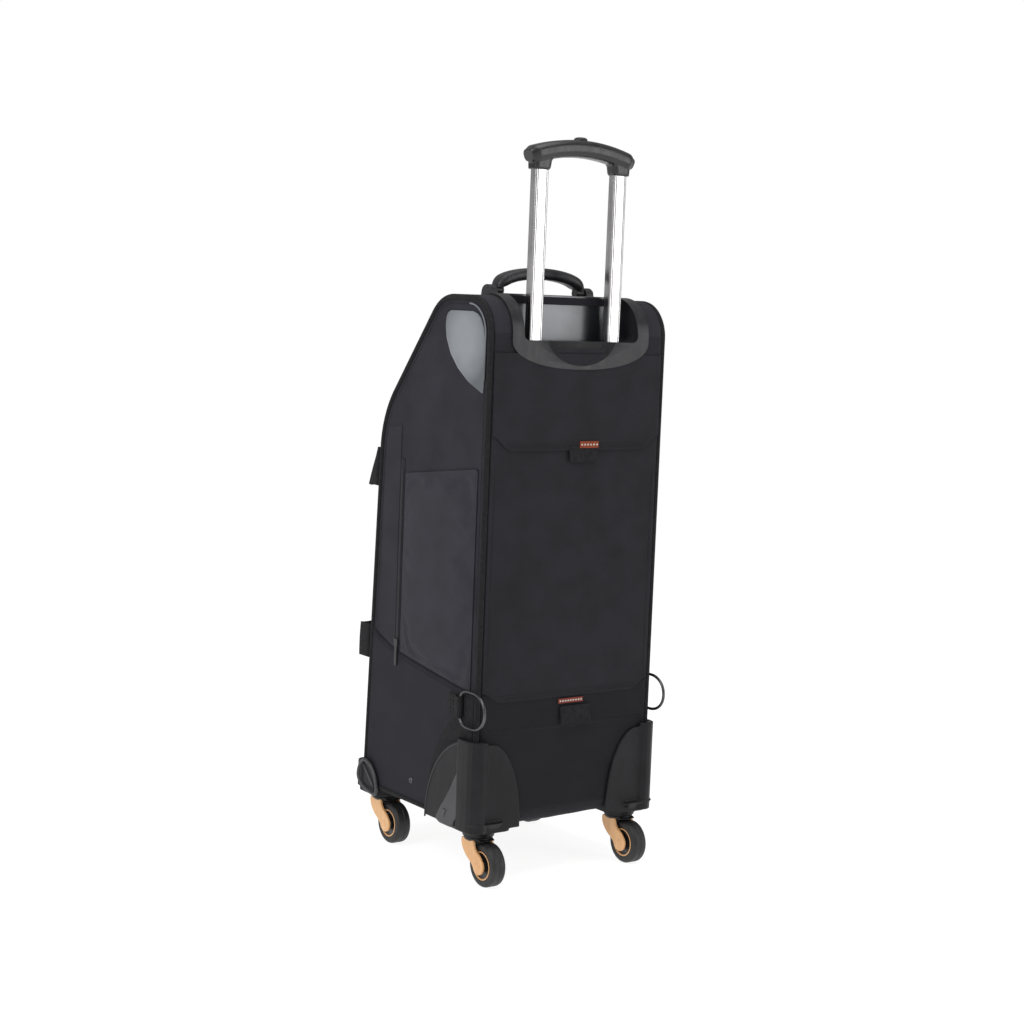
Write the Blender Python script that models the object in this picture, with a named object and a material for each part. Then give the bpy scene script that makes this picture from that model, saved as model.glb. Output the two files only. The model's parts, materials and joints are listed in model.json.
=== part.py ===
"""Two-ball bowling bag on four spinner casters, with a telescopic trolley handle.

Row frame, in metres: the origin is on the floor under the middle of the bag, +Z is up, +Y points to the back
panel, where the trolley handle runs, and +X points to the side on the left of a person who stands behind the bag.
The body is one side profile extruded along X and closed by two side panels with piping round their edges.
"""

import math

import bmesh
import bpy
from mathutils import Matrix, Vector

# ---------------------------------------------------------------- driving dimensions
HALF_WIDTH = 0.146
HALF_DEPTH = 0.141
BOTTOM = 0.078
TOP = 0.778
FRONT_BREAK = (-0.1180, 0.609)  # where the steep front turns into the sloping front (y, z)
TOP_FRONT = (0.0205, 0.778)  # where the slope meets the flat top (y, z)
FOOT_RADIUS, BREAK_RADIUS, CROWN_RADIUS, HEEL_RADIUS = 0.014, 0.140, 0.060, 0.050
GAP = 0.0005  # clearance kept between touching pieces

PIPING_RADIUS = 0.004
PANEL = 0.006  # padded fabric wall
SKIN = 0.001  # how far a panel lies inside the piping's outer edge
GUSSET_HALF = HALF_WIDTH - 2 * PIPING_RADIUS - GAP

SILL_HEIGHT = 0.124  # the door's hinge line
DOOR_HALF = 0.1185
DOOR_TOP_HEIGHT = 0.700
HEADER = 0.012

TUBE_X, TUBE_Y = 0.0645, 0.122
INNER_TUBE = (0.021, 0.013)
OUTER_TUBE = (0.0250, 0.0170)
TUBE_WALL = 0.001
TRAY_FLOOR = 0.7215
TROLLEY_TRAVEL = 0.220
LEG_BOTTOM = TRAY_FLOOR + TROLLEY_TRAVEL + GAP
GRIP_HALF = 0.088
GRIP_TOP = 0.985
BUTTON_TRAVEL = 0.005

CASTER_X, CASTER_Y = 0.119, 0.1170
TRAIL = 0.0240
WHEEL_RADIUS = 0.029
WHEEL_WIDTH = 0.022
FORK_TOP = 0.0632
CUP_BOTTOM = 0.0640
CUP_RADIUS = 0.021

BALL_RADIUS = 0.1085
PAD_HEIGHT = 0.020
LINER_Y = 0.1105
BOARD = 0.0045

HANDLE_X = 0.0675
HANDLE_AXIS = (0.0410, 0.7850)  # the carry handle's pivot (y, z)
HANDLE_RISE = 0.0205

RING_BAR = (0.1500, 0.108)  # the D-rings' straight bar (x, y)
RING_LOW, RING_HIGH = 0.212, 0.264
RING_REACH = 0.060
RING_WIRE = 0.002


# ---------------------------------------------------------------- materials
def material(name, colour, roughness, metallic=0.0):
    made = bpy.data.materials.new(name)
    made.use_nodes = True
    shader = made.node_tree.nodes["Principled BSDF"]
    shader.inputs["Base Color"].default_value = (*colour, 1.0)
    shader.inputs["Roughness"].default_value = roughness
    shader.inputs["Metallic"].default_value = metallic
    return made


def make_materials():
    return {
        "fabric": material("ballistic_fabric", (0.020, 0.020, 0.024), 0.75),
        "pocket": material("pocket_fabric", (0.040, 0.040, 0.048), 0.80),
        "trim": material("piping_and_webbing", (0.012, 0.012, 0.013), 0.70),
        "plastic": material("moulded_plastic", (0.030, 0.030, 0.034), 0.45),
        "tube": material("bright_aluminium", (0.83, 0.84, 0.86), 0.20, 1.0),
        "steel": material("dark_steel", (0.10, 0.10, 0.11), 0.35, 1.0),
        "gold": material("gold_wheel_plastic", (0.80, 0.42, 0.16), 0.40),
        "tyre": material("tyre_rubber", (0.015, 0.015, 0.016), 0.60),
        "foam": material("foam_pad", (0.060, 0.060, 0.065), 0.90),
    }


# ---------------------------------------------------------------- mesh tools
def clear_scene():
    for obj in list(bpy.data.objects):
        bpy.data.objects.remove(obj, do_unlink=True)


def link(name, mesh, mat, smooth_angle=None):
    obj = bpy.data.objects.new(name, mesh)
    bpy.context.scene.collection.objects.link(obj)
    if mat is not None:
        mesh.materials.append(mat)
    if smooth_angle is not None:
        mesh.shade_smooth()
        mesh.set_sharp_from_angle(angle=math.radians(smooth_angle))
    return obj


def solid(name, points, faces, mat, smooth_angle=None):
    mesh = bpy.data.meshes.new(name)
    mesh.from_pydata([tuple(p) for p in points], [], faces)
    bm = bmesh.new()
    bm.from_mesh(mesh)
    bmesh.ops.recalc_face_normals(bm, faces=bm.faces)
    bm.to_mesh(mesh)
    bm.free()
    return link(name, mesh, mat, smooth_angle)


def prism(name, outline, low, high, axis, mat):
    """A flat outline extruded along axis. The outline is (y, z), (x, z) or (x, y), for axis X, Y or Z."""
    place = {
        "X": lambda a, b, c: (c, a, b),
        "Y": lambda a, b, c: (a, c, b),
        "Z": lambda a, b, c: (a, b, c),
    }[axis]
    n = len(outline)
    points = [place(a, b, low) for a, b in outline] + [place(a, b, high) for a, b in outline]
    sides = [(i, (i + 1) % n, n + (i + 1) % n, n + i) for i in range(n)]
    faces = [tuple(range(n)), tuple(range(2 * n - 1, n - 1, -1))] + sides
    return solid(name, points, faces, mat)


def box(name, low, high, mat):
    outline = [(low[0], low[1]), (high[0], low[1]), (high[0], high[1]), (low[0], high[1])]
    return prism(name, outline, low[2], high[2], "Z", mat)


def rings(name, loops, mat, closed=False, smooth_angle=40):
    """A skin over equal loops of points, closed on itself or capped at both ends."""
    count, size = len(loops), len(loops[0])
    points = [p for loop in loops for p in loop]
    faces = []
    for i in range(count if closed else count - 1):
        j = (i + 1) % count
        for k in range(size):
            m = (k + 1) % size
            faces.append((i * size + k, i * size + m, j * size + m, j * size + k))
    if not closed:
        faces.append(tuple(range(size)))
        faces.append(tuple((count - 1) * size + k for k in range(size)))
    return solid(name, points, faces, mat, smooth_angle)


def sweep(name, path, section, across, mat, closed=False):
    """A section of (sideways, outward) points carried along a flat path; across is the path plane's normal."""
    across = Vector(across).normalized()
    loops = []
    for i, point in enumerate(path):
        before = path[i - 1] if i or closed else point
        after = path[(i + 1) % len(path)] if closed or i + 1 < len(path) else point
        along = (Vector(after) - Vector(before)).normalized()
        outward = along.cross(across).normalized()
        loops.append([Vector(point) + across * a + outward * b for a, b in section])
    return rings(name, loops, mat, closed)


def lathe(name, profile, centre, steps, mat):
    """A closed (radius, x) profile turned about the X axis through centre."""
    loops = []
    for k in range(steps):
        turn = 2 * math.pi * k / steps
        loops.append(
            [Vector(centre) + Vector((x, r * math.cos(turn), r * math.sin(turn))) for r, x in profile]
        )
    return rings(name, loops, mat, closed=True)


def cylinder(name, centre, radius, low, high, axis, mat, steps=24):
    outline = [
        (centre[0] + radius * math.cos(2 * math.pi * k / steps), centre[1] + radius * math.sin(2 * math.pi * k / steps))
        for k in range(steps)
    ]
    return prism(name, outline, low, high, axis, mat)


def boolean(obj, other, operation):
    """Adds other to obj, or cuts it away, with other kept as a hidden helper."""
    modifier = obj.modifiers.new(operation.lower(), "BOOLEAN")
    modifier.operation = operation
    modifier.solver = "EXACT"
    modifier.object = other
    other.hide_render = True
    other.display_type = "WIRE"
    return obj


def cut(obj, *others):
    for other in others:
        boolean(obj, other, "DIFFERENCE")
    return obj


def join(obj, *others):
    for other in others:
        boolean(obj, other, "UNION")
    return obj


def bevel(obj, width, segments=2, angle=40):
    modifier = obj.modifiers.new("bevel", "BEVEL")
    modifier.width = width
    modifier.segments = segments
    modifier.limit_method = "ANGLE"
    modifier.angle_limit = math.radians(angle)
    return obj


def mirrored(name, obj):
    """The same piece on the other side of the bag, with its own mesh and helpers."""
    twin = obj.copy()
    twin.data = obj.data.copy()
    twin.name = name
    bpy.context.scene.collection.objects.link(twin)
    flip(twin.data)
    for modifier in twin.modifiers:
        if modifier.type == "BOOLEAN":
            modifier.object = mirrored(name + "_" + modifier.name, modifier.object)
    return twin


def flip(mesh):
    mesh.transform(Matrix.Scale(-1, 4, (1, 0, 0)))
    mesh.flip_normals()


def round_section(radius, steps=8):
    return [
        (radius * math.cos(2 * math.pi * k / steps), radius * math.sin(2 * math.pi * k / steps)) for k in range(steps)
    ]


def rounded_rectangle(width, height, radius, steps=3, centre=(0.0, 0.0)):
    points = []
    for quarter, (sx, sy) in enumerate(((1, 1), (-1, 1), (-1, -1), (1, -1))):
        for k in range(steps + 1):
            turn = math.pi / 2 * (quarter + k / steps)
            points.append(
                (
                    centre[0] + sx * (width / 2 - radius) + radius * math.cos(turn),
                    centre[1] + sy * (height / 2 - radius) + radius * math.sin(turn),
                )
            )
    return points


# ---------------------------------------------------------------- the side profile
def profile_points():
    """The body's outline in (y, z) with outward normals, from the bottom's front end up the front, over the top,
    down the back and along the bottom."""
    front, back = -HALF_DEPTH, HALF_DEPTH
    corners = [
        (front, BOTTOM, FOOT_RADIUS, 5),
        (*FRONT_BREAK, BREAK_RADIUS, 6),
        (*TOP_FRONT, CROWN_RADIUS, 6),
        (back, TOP, HEEL_RADIUS, 8),
        (back, BOTTOM, FOOT_RADIUS, 5),
    ]
    found = []
    for i, (y, z, radius, steps) in enumerate(corners):
        here = Vector((y, z))
        to_before = (Vector(corners[i - 1][:2]) - here).normalized()
        to_after = (Vector(corners[(i + 1) % len(corners)][:2]) - here).normalized()
        half = to_before.angle(to_after) / 2
        middle = here + (to_before + to_after).normalized() * (radius / math.sin(half))
        first = (here + to_before * (radius / math.tan(half)) - middle).normalized()
        last = (here + to_after * (radius / math.tan(half)) - middle).normalized()
        total = first.angle(last)
        for k in range(steps + 1):
            share = k / steps
            normal = (first * math.sin((1 - share) * total) + last * math.sin(share * total)) / math.sin(total)
            found.append((middle + normal * radius, normal))
    return found


PROFILE = profile_points()


def along(inset):
    return [(p - n * inset) for p, n in PROFILE]


def lengths():
    """The distance along the profile at each of its points."""
    total, found = 0.0, [0.0]
    for (a, _), (b, _) in zip(PROFILE, PROFILE[1:]):
        total += (b - a).length
        found.append(total)
    return found


STATIONS = lengths()


def at(station):
    """(point, outward normal) of the profile at a distance along it."""
    for i in range(1, len(STATIONS)):
        if station <= STATIONS[i] + 1e-9:
            share = (station - STATIONS[i - 1]) / max(STATIONS[i] - STATIONS[i - 1], 1e-9)
            (a, na), (b, nb) = PROFILE[i - 1], PROFILE[i]
            return a + (b - a) * share, (na + (nb - na) * share).normalized()
    raise ValueError("station past the profile's end")


def station_at_height(height):
    """The distance along the front and the slope at which the profile is this high."""
    for i in range(1, len(PROFILE)):
        low, high = PROFILE[i - 1][0].y, PROFILE[i][0].y
        if low <= height <= high and high > low:
            return STATIONS[i - 1] + (height - low) / (high - low) * (STATIONS[i] - STATIONS[i - 1])
    raise ValueError("no such height")


def strip_outline(first, last, outer, inner):
    """The band between two insets of the profile, from one station to another."""
    inside = [PROFILE[i] for i, s in enumerate(STATIONS) if first + 1e-6 < s < last - 1e-6]
    run = [at(first), *inside, at(last)]
    return [p - n * outer for p, n in run] + [p - n * inner for p, n in reversed(run)]


SILL = station_at_height(SILL_HEIGHT)
DOOR_TOP = station_at_height(DOOR_TOP_HEIGHT)
HEADER_TOP = DOOR_TOP + HEADER
HEEL_END = STATIONS[6 + 7 + 7 + 8]  # the lower end of the arc between top and back


def front_face(height):
    """The y of the un-inset front at a height."""
    return at(station_at_height(height))[0].x


# ---------------------------------------------------------------- body panels
def side_panel(mats):
    outline = [(p.x, p.y) for p in along(2 * PIPING_RADIUS + GAP)]
    inner = HALF_WIDTH - PIPING_RADIUS - PANEL + 0.001
    return prism("side_panel_left", outline, inner, HALF_WIDTH - 0.002, "X", mats["fabric"])


def side_piping(mats):
    x = HALF_WIDTH - PIPING_RADIUS
    path = [(x, p.x, p.y) for p in along(PIPING_RADIUS)]
    return sweep("piping_left", path, round_section(PIPING_RADIUS, 6), (1, 0, 0), mats["trim"], closed=True)


def tray_clearance(mats, name):
    """The space that the trolley tray takes out of the back and top panels."""
    return box(name + "_tray_room", (-0.0985, 0.095, 0.7170), (0.0985, 0.160, 0.800), mats["fabric"])


def back_panel(mats):
    outline = strip_outline(HEEL_END, STATIONS[-1], SKIN, SKIN + PANEL)
    panel = prism("back_panel", outline, -GUSSET_HALF, GUSSET_HALF, "X", mats["fabric"])
    scoop_room = box("scoop_room", (-0.0585, 0.125, 0.6890), (0.0585, 0.160, 0.7180), None)
    return cut(panel, tray_clearance(mats, "back_panel"), scoop_room)


def top_panel(mats):
    outline = strip_outline(HEADER_TOP + GAP, HEEL_END - GAP, SKIN, SKIN + PANEL)
    panel = prism("top_panel", outline, -GUSSET_HALF, GUSSET_HALF, "X", mats["fabric"])
    return cut(panel, tray_clearance(mats, "top_panel"))


def front_frame(mats):
    outline = strip_outline(0.0, HEADER_TOP, SKIN, SKIN + PANEL)
    frame = prism("front_frame", outline, -GUSSET_HALF, GUSSET_HALF, "X", mats["fabric"])
    hole = strip_outline(SILL - GAP, DOOR_TOP + GAP, -0.02, 0.03)
    return cut(frame, prism("door_hole", hole, -DOOR_HALF - 0.001, DOOR_HALF + 0.001, "X", None))


def base_board(mats):
    low = BOTTOM + SKIN
    front, back = PROFILE[0][0].x + GAP, PROFILE[-1][0].x - GAP
    return box("base_board", (-0.136, front, low), (0.136, back, low + 2 * BOARD), mats["plastic"])


def front_door(mats):
    outline = strip_outline(SILL, DOOR_TOP, -0.001, SKIN + PANEL)
    return prism("front_door", outline, -DOOR_HALF, DOOR_HALF, "X", mats["fabric"])


def door_pocket(mats):
    """A bellows pocket on the lower half of the door, deepest at its middle."""
    first, last = station_at_height(0.155), station_at_height(0.430)
    depth, foot = 0.020, 0.0015
    outline = strip_outline(first, last, -depth, -foot)
    pocket = prism("door_pocket", outline, -0.100, 0.100, "X", mats["pocket"])
    return bevel(pocket, 0.008, 2)


def web_loop(mats, name, low, high, reach_low, reach_high):
    """A folded webbing loop sewn to the front seam, with its hole running up and down."""
    inner_x, outer_x, wall = 0.1280, HALF_WIDTH, 0.0025
    points, faces = [], []
    for z, reach in ((low, reach_low), (high, reach_high)):
        back = front_face(z) - GAP
        front = back - reach
        points += [(inner_x, back, z), (outer_x, back, z), (outer_x, front, z), (inner_x, front, z)]
        points += [
            (inner_x + wall, back - wall, z),
            (outer_x - wall, back - wall, z),
            (outer_x - wall, front + wall, z),
            (inner_x + wall, front + wall, z),
        ]
    for k in range(4):
        m = (k + 1) % 4
        faces += [(k, m, 8 + m, 8 + k), (4 + k, 12 + k, 12 + m, 4 + m)]
        faces += [(k, 4 + k, 4 + m, m), (8 + k, 8 + m, 12 + m, 12 + k)]
    return solid(name, points, faces, mats["trim"])


def side_pocket(mats):
    """The flat accessory pocket on a side panel."""
    outline = [(-0.050, 0.284), (0.122, 0.266), (0.122, 0.551), (-0.050, 0.530)]
    x = HALF_WIDTH - 0.002 + GAP
    return prism("side_pocket_left", outline, x, x + 0.003, "X", mats["pocket"])


def back_flap(mats):
    low, high = 0.578, 0.679
    corner = 0.014
    outline = [
        (-0.134, high),
        (-0.134, low + corner),
        (-0.134 + corner, low),
        (0.134 - corner, low),
        (0.134, low + corner),
        (0.134, high),
    ]
    return prism("back_flap", outline, HALF_DEPTH - SKIN + GAP, HALF_DEPTH + 0.0020, "Y", mats["fabric"])


def back_pocket(mats):
    low = (-0.134, HALF_DEPTH - SKIN + GAP, 0.2030)
    return box("back_pocket", low, (0.134, HALF_DEPTH + 0.0020, 0.2440), mats["fabric"])


def pull_tab(mats, name, x, low, high):
    y = HALF_DEPTH + 0.0020 + GAP
    return box(name, (x - 0.019, y, low), (x + 0.019, y + 0.0025, high), mats["trim"])


# ---------------------------------------------------------------- inside the bag
def liner_board(mats):
    low = BOTTOM + SKIN + 2 * BOARD + GAP
    return box("liner_board", (-0.1355, LINER_Y, low), (0.1355, LINER_Y + 0.0025, 0.7120), mats["plastic"])


def shelf(mats, name, low):
    front = front_face(low) + SKIN + PANEL + 0.0035
    return box(name, (-0.1355, front, low), (0.1355, LINER_Y - GAP, low + BOARD), mats["foam"])


def ball_pad(mats, name, low):
    """A foam pad with a round hole that a ball settles into."""
    front = front_face(low) + SKIN + PANEL + 0.0070
    middle = (front + LINER_Y) / 2
    pad = box(name, (-0.125, front, low), (0.125, LINER_Y - 2 * GAP, low + PAD_HEIGHT), mats["foam"])
    hole = cylinder(name + "_hole", (0.0, middle), 0.060, low - 0.01, low + PAD_HEIGHT + 0.01, "Z", None, 28)
    return cut(pad, hole)


# ---------------------------------------------------------------- trolley handle
def tube(mats, name, x, outside, low, high, mat, plug=0.0):
    """A rectangular tube with rounded corners, closed for the first plug metres of its lower end."""
    outer = rounded_rectangle(*outside, 0.003, 3, (x, TUBE_Y))
    body = prism(name, outer, low, high, "Z", mats[mat])
    inner = rounded_rectangle(outside[0] - 2 * TUBE_WALL, outside[1] - 2 * TUBE_WALL, 0.002, 3, (x, TUBE_Y))
    start = low + plug if plug else low - 0.01
    return cut(body, prism(name + "_bore", inner, start, high + 0.01, "Z", None))


def tray_outline():
    """The tray's flange, a wide shield with a round lower edge (x, z)."""
    half, shoulder, drop, power = 0.1125, 0.722, 0.0375, 2 / 2.2
    points = [(half, 0.790)]
    for k in range(15):
        turn = math.pi / 2 * k / 14
        points.append((half * max(math.cos(turn), 0.0) ** power, shoulder - drop * math.sin(turn) ** power))
    points[-1] = (0.0, shoulder - drop)
    return points + [(-x, z) for x, z in reversed(points[:-1])]


def offset_body(name, outset):
    return prism(name, [(p.x, p.y) for p in along(-outset)], -0.2, 0.2, "X", None)


def trolley_tray(mats):
    """Flange on the back, a box recess for the grip, and a finger scoop below it."""
    tray = prism("trolley_tray", tray_outline(), 0.060, 0.160, "Y", mats["plastic"])
    shell_outer, shell_inner = offset_body("tray_skin", 0.003), offset_body("tray_body", 0.0)
    walls = box("tray_walls", (-0.098, 0.0955, 0.7175), (0.098, 0.150, 0.790), None)
    backing = box("tray_backing", (-0.058, 0.1315, 0.6895), (0.058, 0.145, 0.7200), None)
    boolean(tray, shell_inner, "DIFFERENCE")
    join(tray, walls, backing)
    boolean(tray, shell_outer, "INTERSECT")
    recess = box("tray_recess", (-0.094, 0.0995, TRAY_FLOOR), (0.094, 0.200, 0.900), None)
    scoop = bpy.data.meshes.new("tray_scoop")
    bm = bmesh.new()
    bmesh.ops.create_uvsphere(bm, u_segments=20, v_segments=12, radius=1.0)
    bm.transform(Matrix.Translation((0, 0.1520, 0.7300)) @ Matrix.Diagonal((0.068, 0.0165, 0.048, 1.0)))
    bm.to_mesh(scoop)
    bm.free()
    cut(tray, recess, link("tray_scoop", scoop, None))
    for side in (-1, 1):
        hole = rounded_rectangle(0.0220, 0.0140, 0.003, 3, (side * TUBE_X, TUBE_Y))
        cut(tray, prism(f"tray_tube_hole_{side}", hole, 0.700, 0.730, "Z", None))
    return tray


def grip_centreline(x):
    """The height of the grip bar's middle at x: highest at the centre."""
    return GRIP_TOP - 0.012 - 0.014 * (x / GRIP_HALF) ** 2


def trolley_grip(mats):
    """The arched bar with two legs that hold the inner tubes, hollow where the release bar runs."""
    stations = [-GRIP_HALF + 2 * GRIP_HALF * k / 14 for k in range(15)]
    loops = []
    for i, x in enumerate(stations):
        taper = 0.72 if i in (0, len(stations) - 1) else 1.0
        loops.append(
            [
                Vector((x, TUBE_Y + a, grip_centreline(x) + b))
                for a, b in rounded_rectangle(0.030 * taper, 0.023 * taper, 0.0080 * taper, 3)
            ]
        )
    grip = rings("trolley_grip", loops, mats["plastic"])
    for side in (-1, 1):
        leg = rounded_rectangle(0.028, 0.022, 0.005, 3, (side * TUBE_X, TUBE_Y))
        join(grip, prism(f"grip_leg_{side}", leg, LEG_BOTTOM, 0.966, "Z", None))
    for side in (-1, 1):
        socket = rounded_rectangle(0.0216, 0.0136, 0.0032, 3, (side * TUBE_X, TUBE_Y))
        cut(grip, prism(f"grip_socket_{side}", socket, 0.900, 0.9620, "Z", None))
    channel = box("grip_channel", (-0.069, TUBE_Y - 0.0040, 0.9570), (0.069, TUBE_Y + 0.0040, 0.9725), None)
    well = cylinder("grip_button_well", (0.0, TUBE_Y), 0.0096, 0.960, 1.00, "Z", None, 24)
    return cut(grip, channel, well)


def push_button(mats):
    """Domed release button, 18 mm across, standing 3 mm proud of the grip."""
    profile = ((0.0, 0.9665), (0.0090, 0.9665), (0.0090, 0.9865), (0.0070, 0.9880), (0.0, 0.9885))
    loops = []
    for radius, height in profile[1:-1]:
        loops.append(
            [
                Vector(
                    (
                        radius * math.cos(2 * math.pi * k / 20),
                        TUBE_Y + radius * math.sin(2 * math.pi * k / 20),
                        height,
                    )
                )
                for k in range(20)
            ]
        )
    return rings("push_button", loops, mats["plastic"])


def release_bar(mats):
    """Cross bar under the button with a rod down each tube, to the lock in the tube's foot."""
    bar = box("release_bar", (-0.0675, TUBE_Y - 0.0030, 0.9630), (0.0675, TUBE_Y + 0.0030, 0.9660), mats["steel"])
    for side in (-1, 1):
        rod = cylinder(f"release_rod_{side}", (side * TUBE_X, TUBE_Y), 0.0025, 0.662, 0.9645, "Z", None, 8)
        join(bar, rod)
    return bar


# ---------------------------------------------------------------- carry handle
def handle_path():
    """The arch from one foot to the other, in the pivot's upright plane."""
    y, z = HANDLE_AXIS
    path = []
    for k in range(17):
        turn = math.pi * k / 16
        path.append((HANDLE_X * math.cos(turn), y, z + 0.004 + HANDLE_RISE * math.sin(turn) ** 0.75))
    return path


def carry_handle(mats):
    handle = sweep("carry_handle", handle_path(), rounded_rectangle(0.024, 0.012, 0.005, 2), (0, 1, 0), mats["trim"])
    for side in (-1, 1):
        ends = sorted((side * (HANDLE_X - 0.006), side * (HANDLE_X + 0.016)))
        pin = cylinder(f"handle_pin_{side}", HANDLE_AXIS, 0.0035, *ends, "X", None, 12)
        foot = cylinder(f"handle_foot_{side}", HANDLE_AXIS, 0.0060, *sorted((side * 0.0615, side * 0.0735)), "X", None, 16)
        join(handle, foot, pin)
    return handle


def handle_anchor(mats):
    """The block beside a handle foot that its pivot pin turns in, standing on the curved crown."""
    low, high = HANDLE_X + 0.0070, HANDLE_X + 0.0190
    y, z = HANDLE_AXIS
    outline = [(y - 0.0150, z - 0.0200), (y + 0.0150, z - 0.0200)]
    for k in range(9):
        turn = math.pi * k / 8
        outline.append((y + (0.0075 + 0.0030 * math.cos(turn) ** 2) * math.cos(turn), z + 0.0075 * math.sin(turn)))
    block = prism("handle_anchor_left", outline, low, high, "X", mats["plastic"])
    bore = cylinder("anchor_bore", HANDLE_AXIS, 0.0040, low - 0.01, high - 0.002, "X", None, 16)
    return cut(block, offset_body("anchor_seat", -0.0005), bore)


# ---------------------------------------------------------------- guards and casters
def quarter_wing(corner, reach, rise, edge, low=0.0700, steps=8):
    """A guard wing: full height at the corner, falling in a quarter ellipse to the reach (position, z)."""
    points = [(edge, low), (corner - reach, low)]
    for k in range(steps + 1):
        turn = math.pi / 2 * k / steps
        points.append((corner - reach * math.cos(turn), BOTTOM + rise * math.sin(turn)))
    return points + [(edge, BOTTOM + rise)]


def caster_cup(name, y):
    return cylinder(name, (CASTER_X, y), CUP_RADIUS, CUP_BOTTOM, 0.0760, "Z", None, 24)


def rear_guard(mats):
    """Two arched wings and a skid rail round the rear corner, moulded with the caster's cup."""
    x_in, x_out = HALF_WIDTH + GAP, HALF_WIDTH + 0.0045
    y_in, y_out = HALF_DEPTH + GAP, HALF_DEPTH + 0.0045
    guard = prism("rear_guard_left", quarter_wing(0.135, 0.104, 0.119, y_out), x_in, x_out, "X", mats["plastic"])
    back = prism("guard_back_wing", quarter_wing(0.122, 0.050, 0.119, x_out), y_in, y_out, "Y", None)
    rail_outline = rounded_rectangle(x_out - 0.117, 0.0120, 0.004, 3, ((0.117 + x_out) / 2, HALF_DEPTH + GAP + 0.006))
    rail = prism("guard_rail", rail_outline, 0.0660, 0.200, "Z", None)
    sole = box("guard_sole", (0.076, 0.045, 0.0700), (x_out - 0.001, y_out - 0.001, 0.0770), None)
    ramp_outline = [(0.062, 0.0670), (0.070, 0.0750), (0.134, 0.1420), (y_out, 0.1420), (y_out, 0.0670)]
    ramp = prism("guard_ramp", ramp_outline, x_in + 0.001, x_out + 0.0050, "X", None)
    join(guard, back, ramp, rail, sole, caster_cup("rear_cup", CASTER_Y))
    return guard


def front_guard(mats):
    """A short kick guard round the front corner, moulded with the caster's cup."""
    x_in, x_out = HALF_WIDTH + GAP, HALF_WIDTH + 0.0050
    nose = -HALF_DEPTH - 0.0065
    side = [
        (-0.0950, 0.0680),
        (-0.0950, 0.0900),
        (-0.1050, 0.1080),
        (-0.1220, 0.1190),
        (-0.1330, 0.1190),
        (-0.1425, 0.1120),
        (nose, 0.1000),
        (nose, 0.0820),
        (-0.1370, 0.0680),
    ]
    guard = prism("front_guard_left", side, x_in, x_out, "X", mats["plastic"])
    front = [(0.1080, 0.0700), (0.1080, 0.0900), (0.1200, 0.1060), (x_out - 0.001, 0.1120), (x_out - 0.001, 0.0700)]
    face = prism("guard_front_wing", front, nose + 0.001, -HALF_DEPTH - GAP, "Y", None)
    sole = box("front_sole", (0.090, nose + 0.002, 0.0700), (x_out - 0.001, -0.097, 0.0770), None)
    join(guard, face, sole, caster_cup("front_cup", -CASTER_Y))
    return guard


def fork(mats, name, x, y):
    """Swivel fork: a turntable under the cup, a hood over the wheel, two arms and the axle across them."""
    crown = cylinder(name, (x, y), 0.0195, 0.0600, FORK_TOP, "Z", mats["plastic"], 24)
    axle = (y + TRAIL, WHEEL_RADIUS)
    arm_inner, arm_outer = WHEEL_WIDTH / 2 + 0.0015, WHEEL_WIDTH / 2 + 0.0055
    hood = box(name + "_hood", (x - arm_outer, y - 0.014, 0.0592), (x + arm_outer, y + 0.017, 0.0612), None)
    join(crown, hood)
    for side in (-1, 1):
        arm = [(y - 0.013, 0.0612), (y - 0.0150, 0.0480)]
        for k in range(9):
            turn = math.pi * (1.10 + 0.95 * k / 8)
            arm.append((axle[0] + 0.0095 * math.cos(turn), axle[1] + 0.0095 * math.sin(turn)))
        arm.append((y + 0.0150, 0.0612))
        ends = sorted((x + side * arm_inner, x + side * arm_outer))
        join(crown, prism(f"{name}_arm_{side}", arm, *ends, "X", None))
    join(crown, cylinder(name + "_axle", axle, 0.0035, x - arm_outer - 0.001, x + arm_outer + 0.001, "X", None, 12))
    return crown


def wheel(mats, place, x, y):
    """Hub that turns on the axle, and the tyre round it."""
    centre = (x, y + TRAIL, WHEEL_RADIUS)
    half = WHEEL_WIDTH / 2
    hub = [(0.0040, -half), (0.0075, -half), (0.0075, -0.008), (0.0180, -0.008), (0.0180, 0.008), (0.0075, 0.008)]
    hub += [(0.0075, half), (0.0040, half)]
    made = lathe(f"wheel_hub_{place}", hub, centre, 24, mats["gold"])
    rim, tread, shoulder = 0.0183, WHEEL_RADIUS, 0.0045
    tyre = [(rim, -half + 0.001), (tread - shoulder, -half), (tread - 0.0012, -half + 0.0030)]
    tyre += [(tread, -half + 0.0070), (tread, half - 0.0070)]
    tyre += [(tread - 0.0012, half - 0.0030), (tread - shoulder, half), (rim, half - 0.001)]
    return made, lathe(f"tyre_{place}", tyre, centre, 32, mats["tyre"])


# ---------------------------------------------------------------- rings, tabs and zip sliders
def ring_path():
    """The D-ring's centreline: a straight upright bar and a bow towards the back."""
    x, y = RING_BAR
    middle, half = (RING_LOW + RING_HIGH) / 2, (RING_HIGH - RING_LOW) / 2 - RING_WIRE
    path = [(x, y, middle + half * (1 - k / 2)) for k in range(4, -1, -1)]
    for k in range(1, 16):
        turn = math.pi / 2 - math.pi * k / 16
        path.append((x, y + (RING_REACH - RING_WIRE) * math.cos(turn) ** 0.8, middle + half * math.sin(turn)))
    return path


def d_ring(mats):
    return sweep("d_ring_left", ring_path(), round_section(RING_WIRE, 6), (1, 0, 0), mats["steel"], closed=True)


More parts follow.
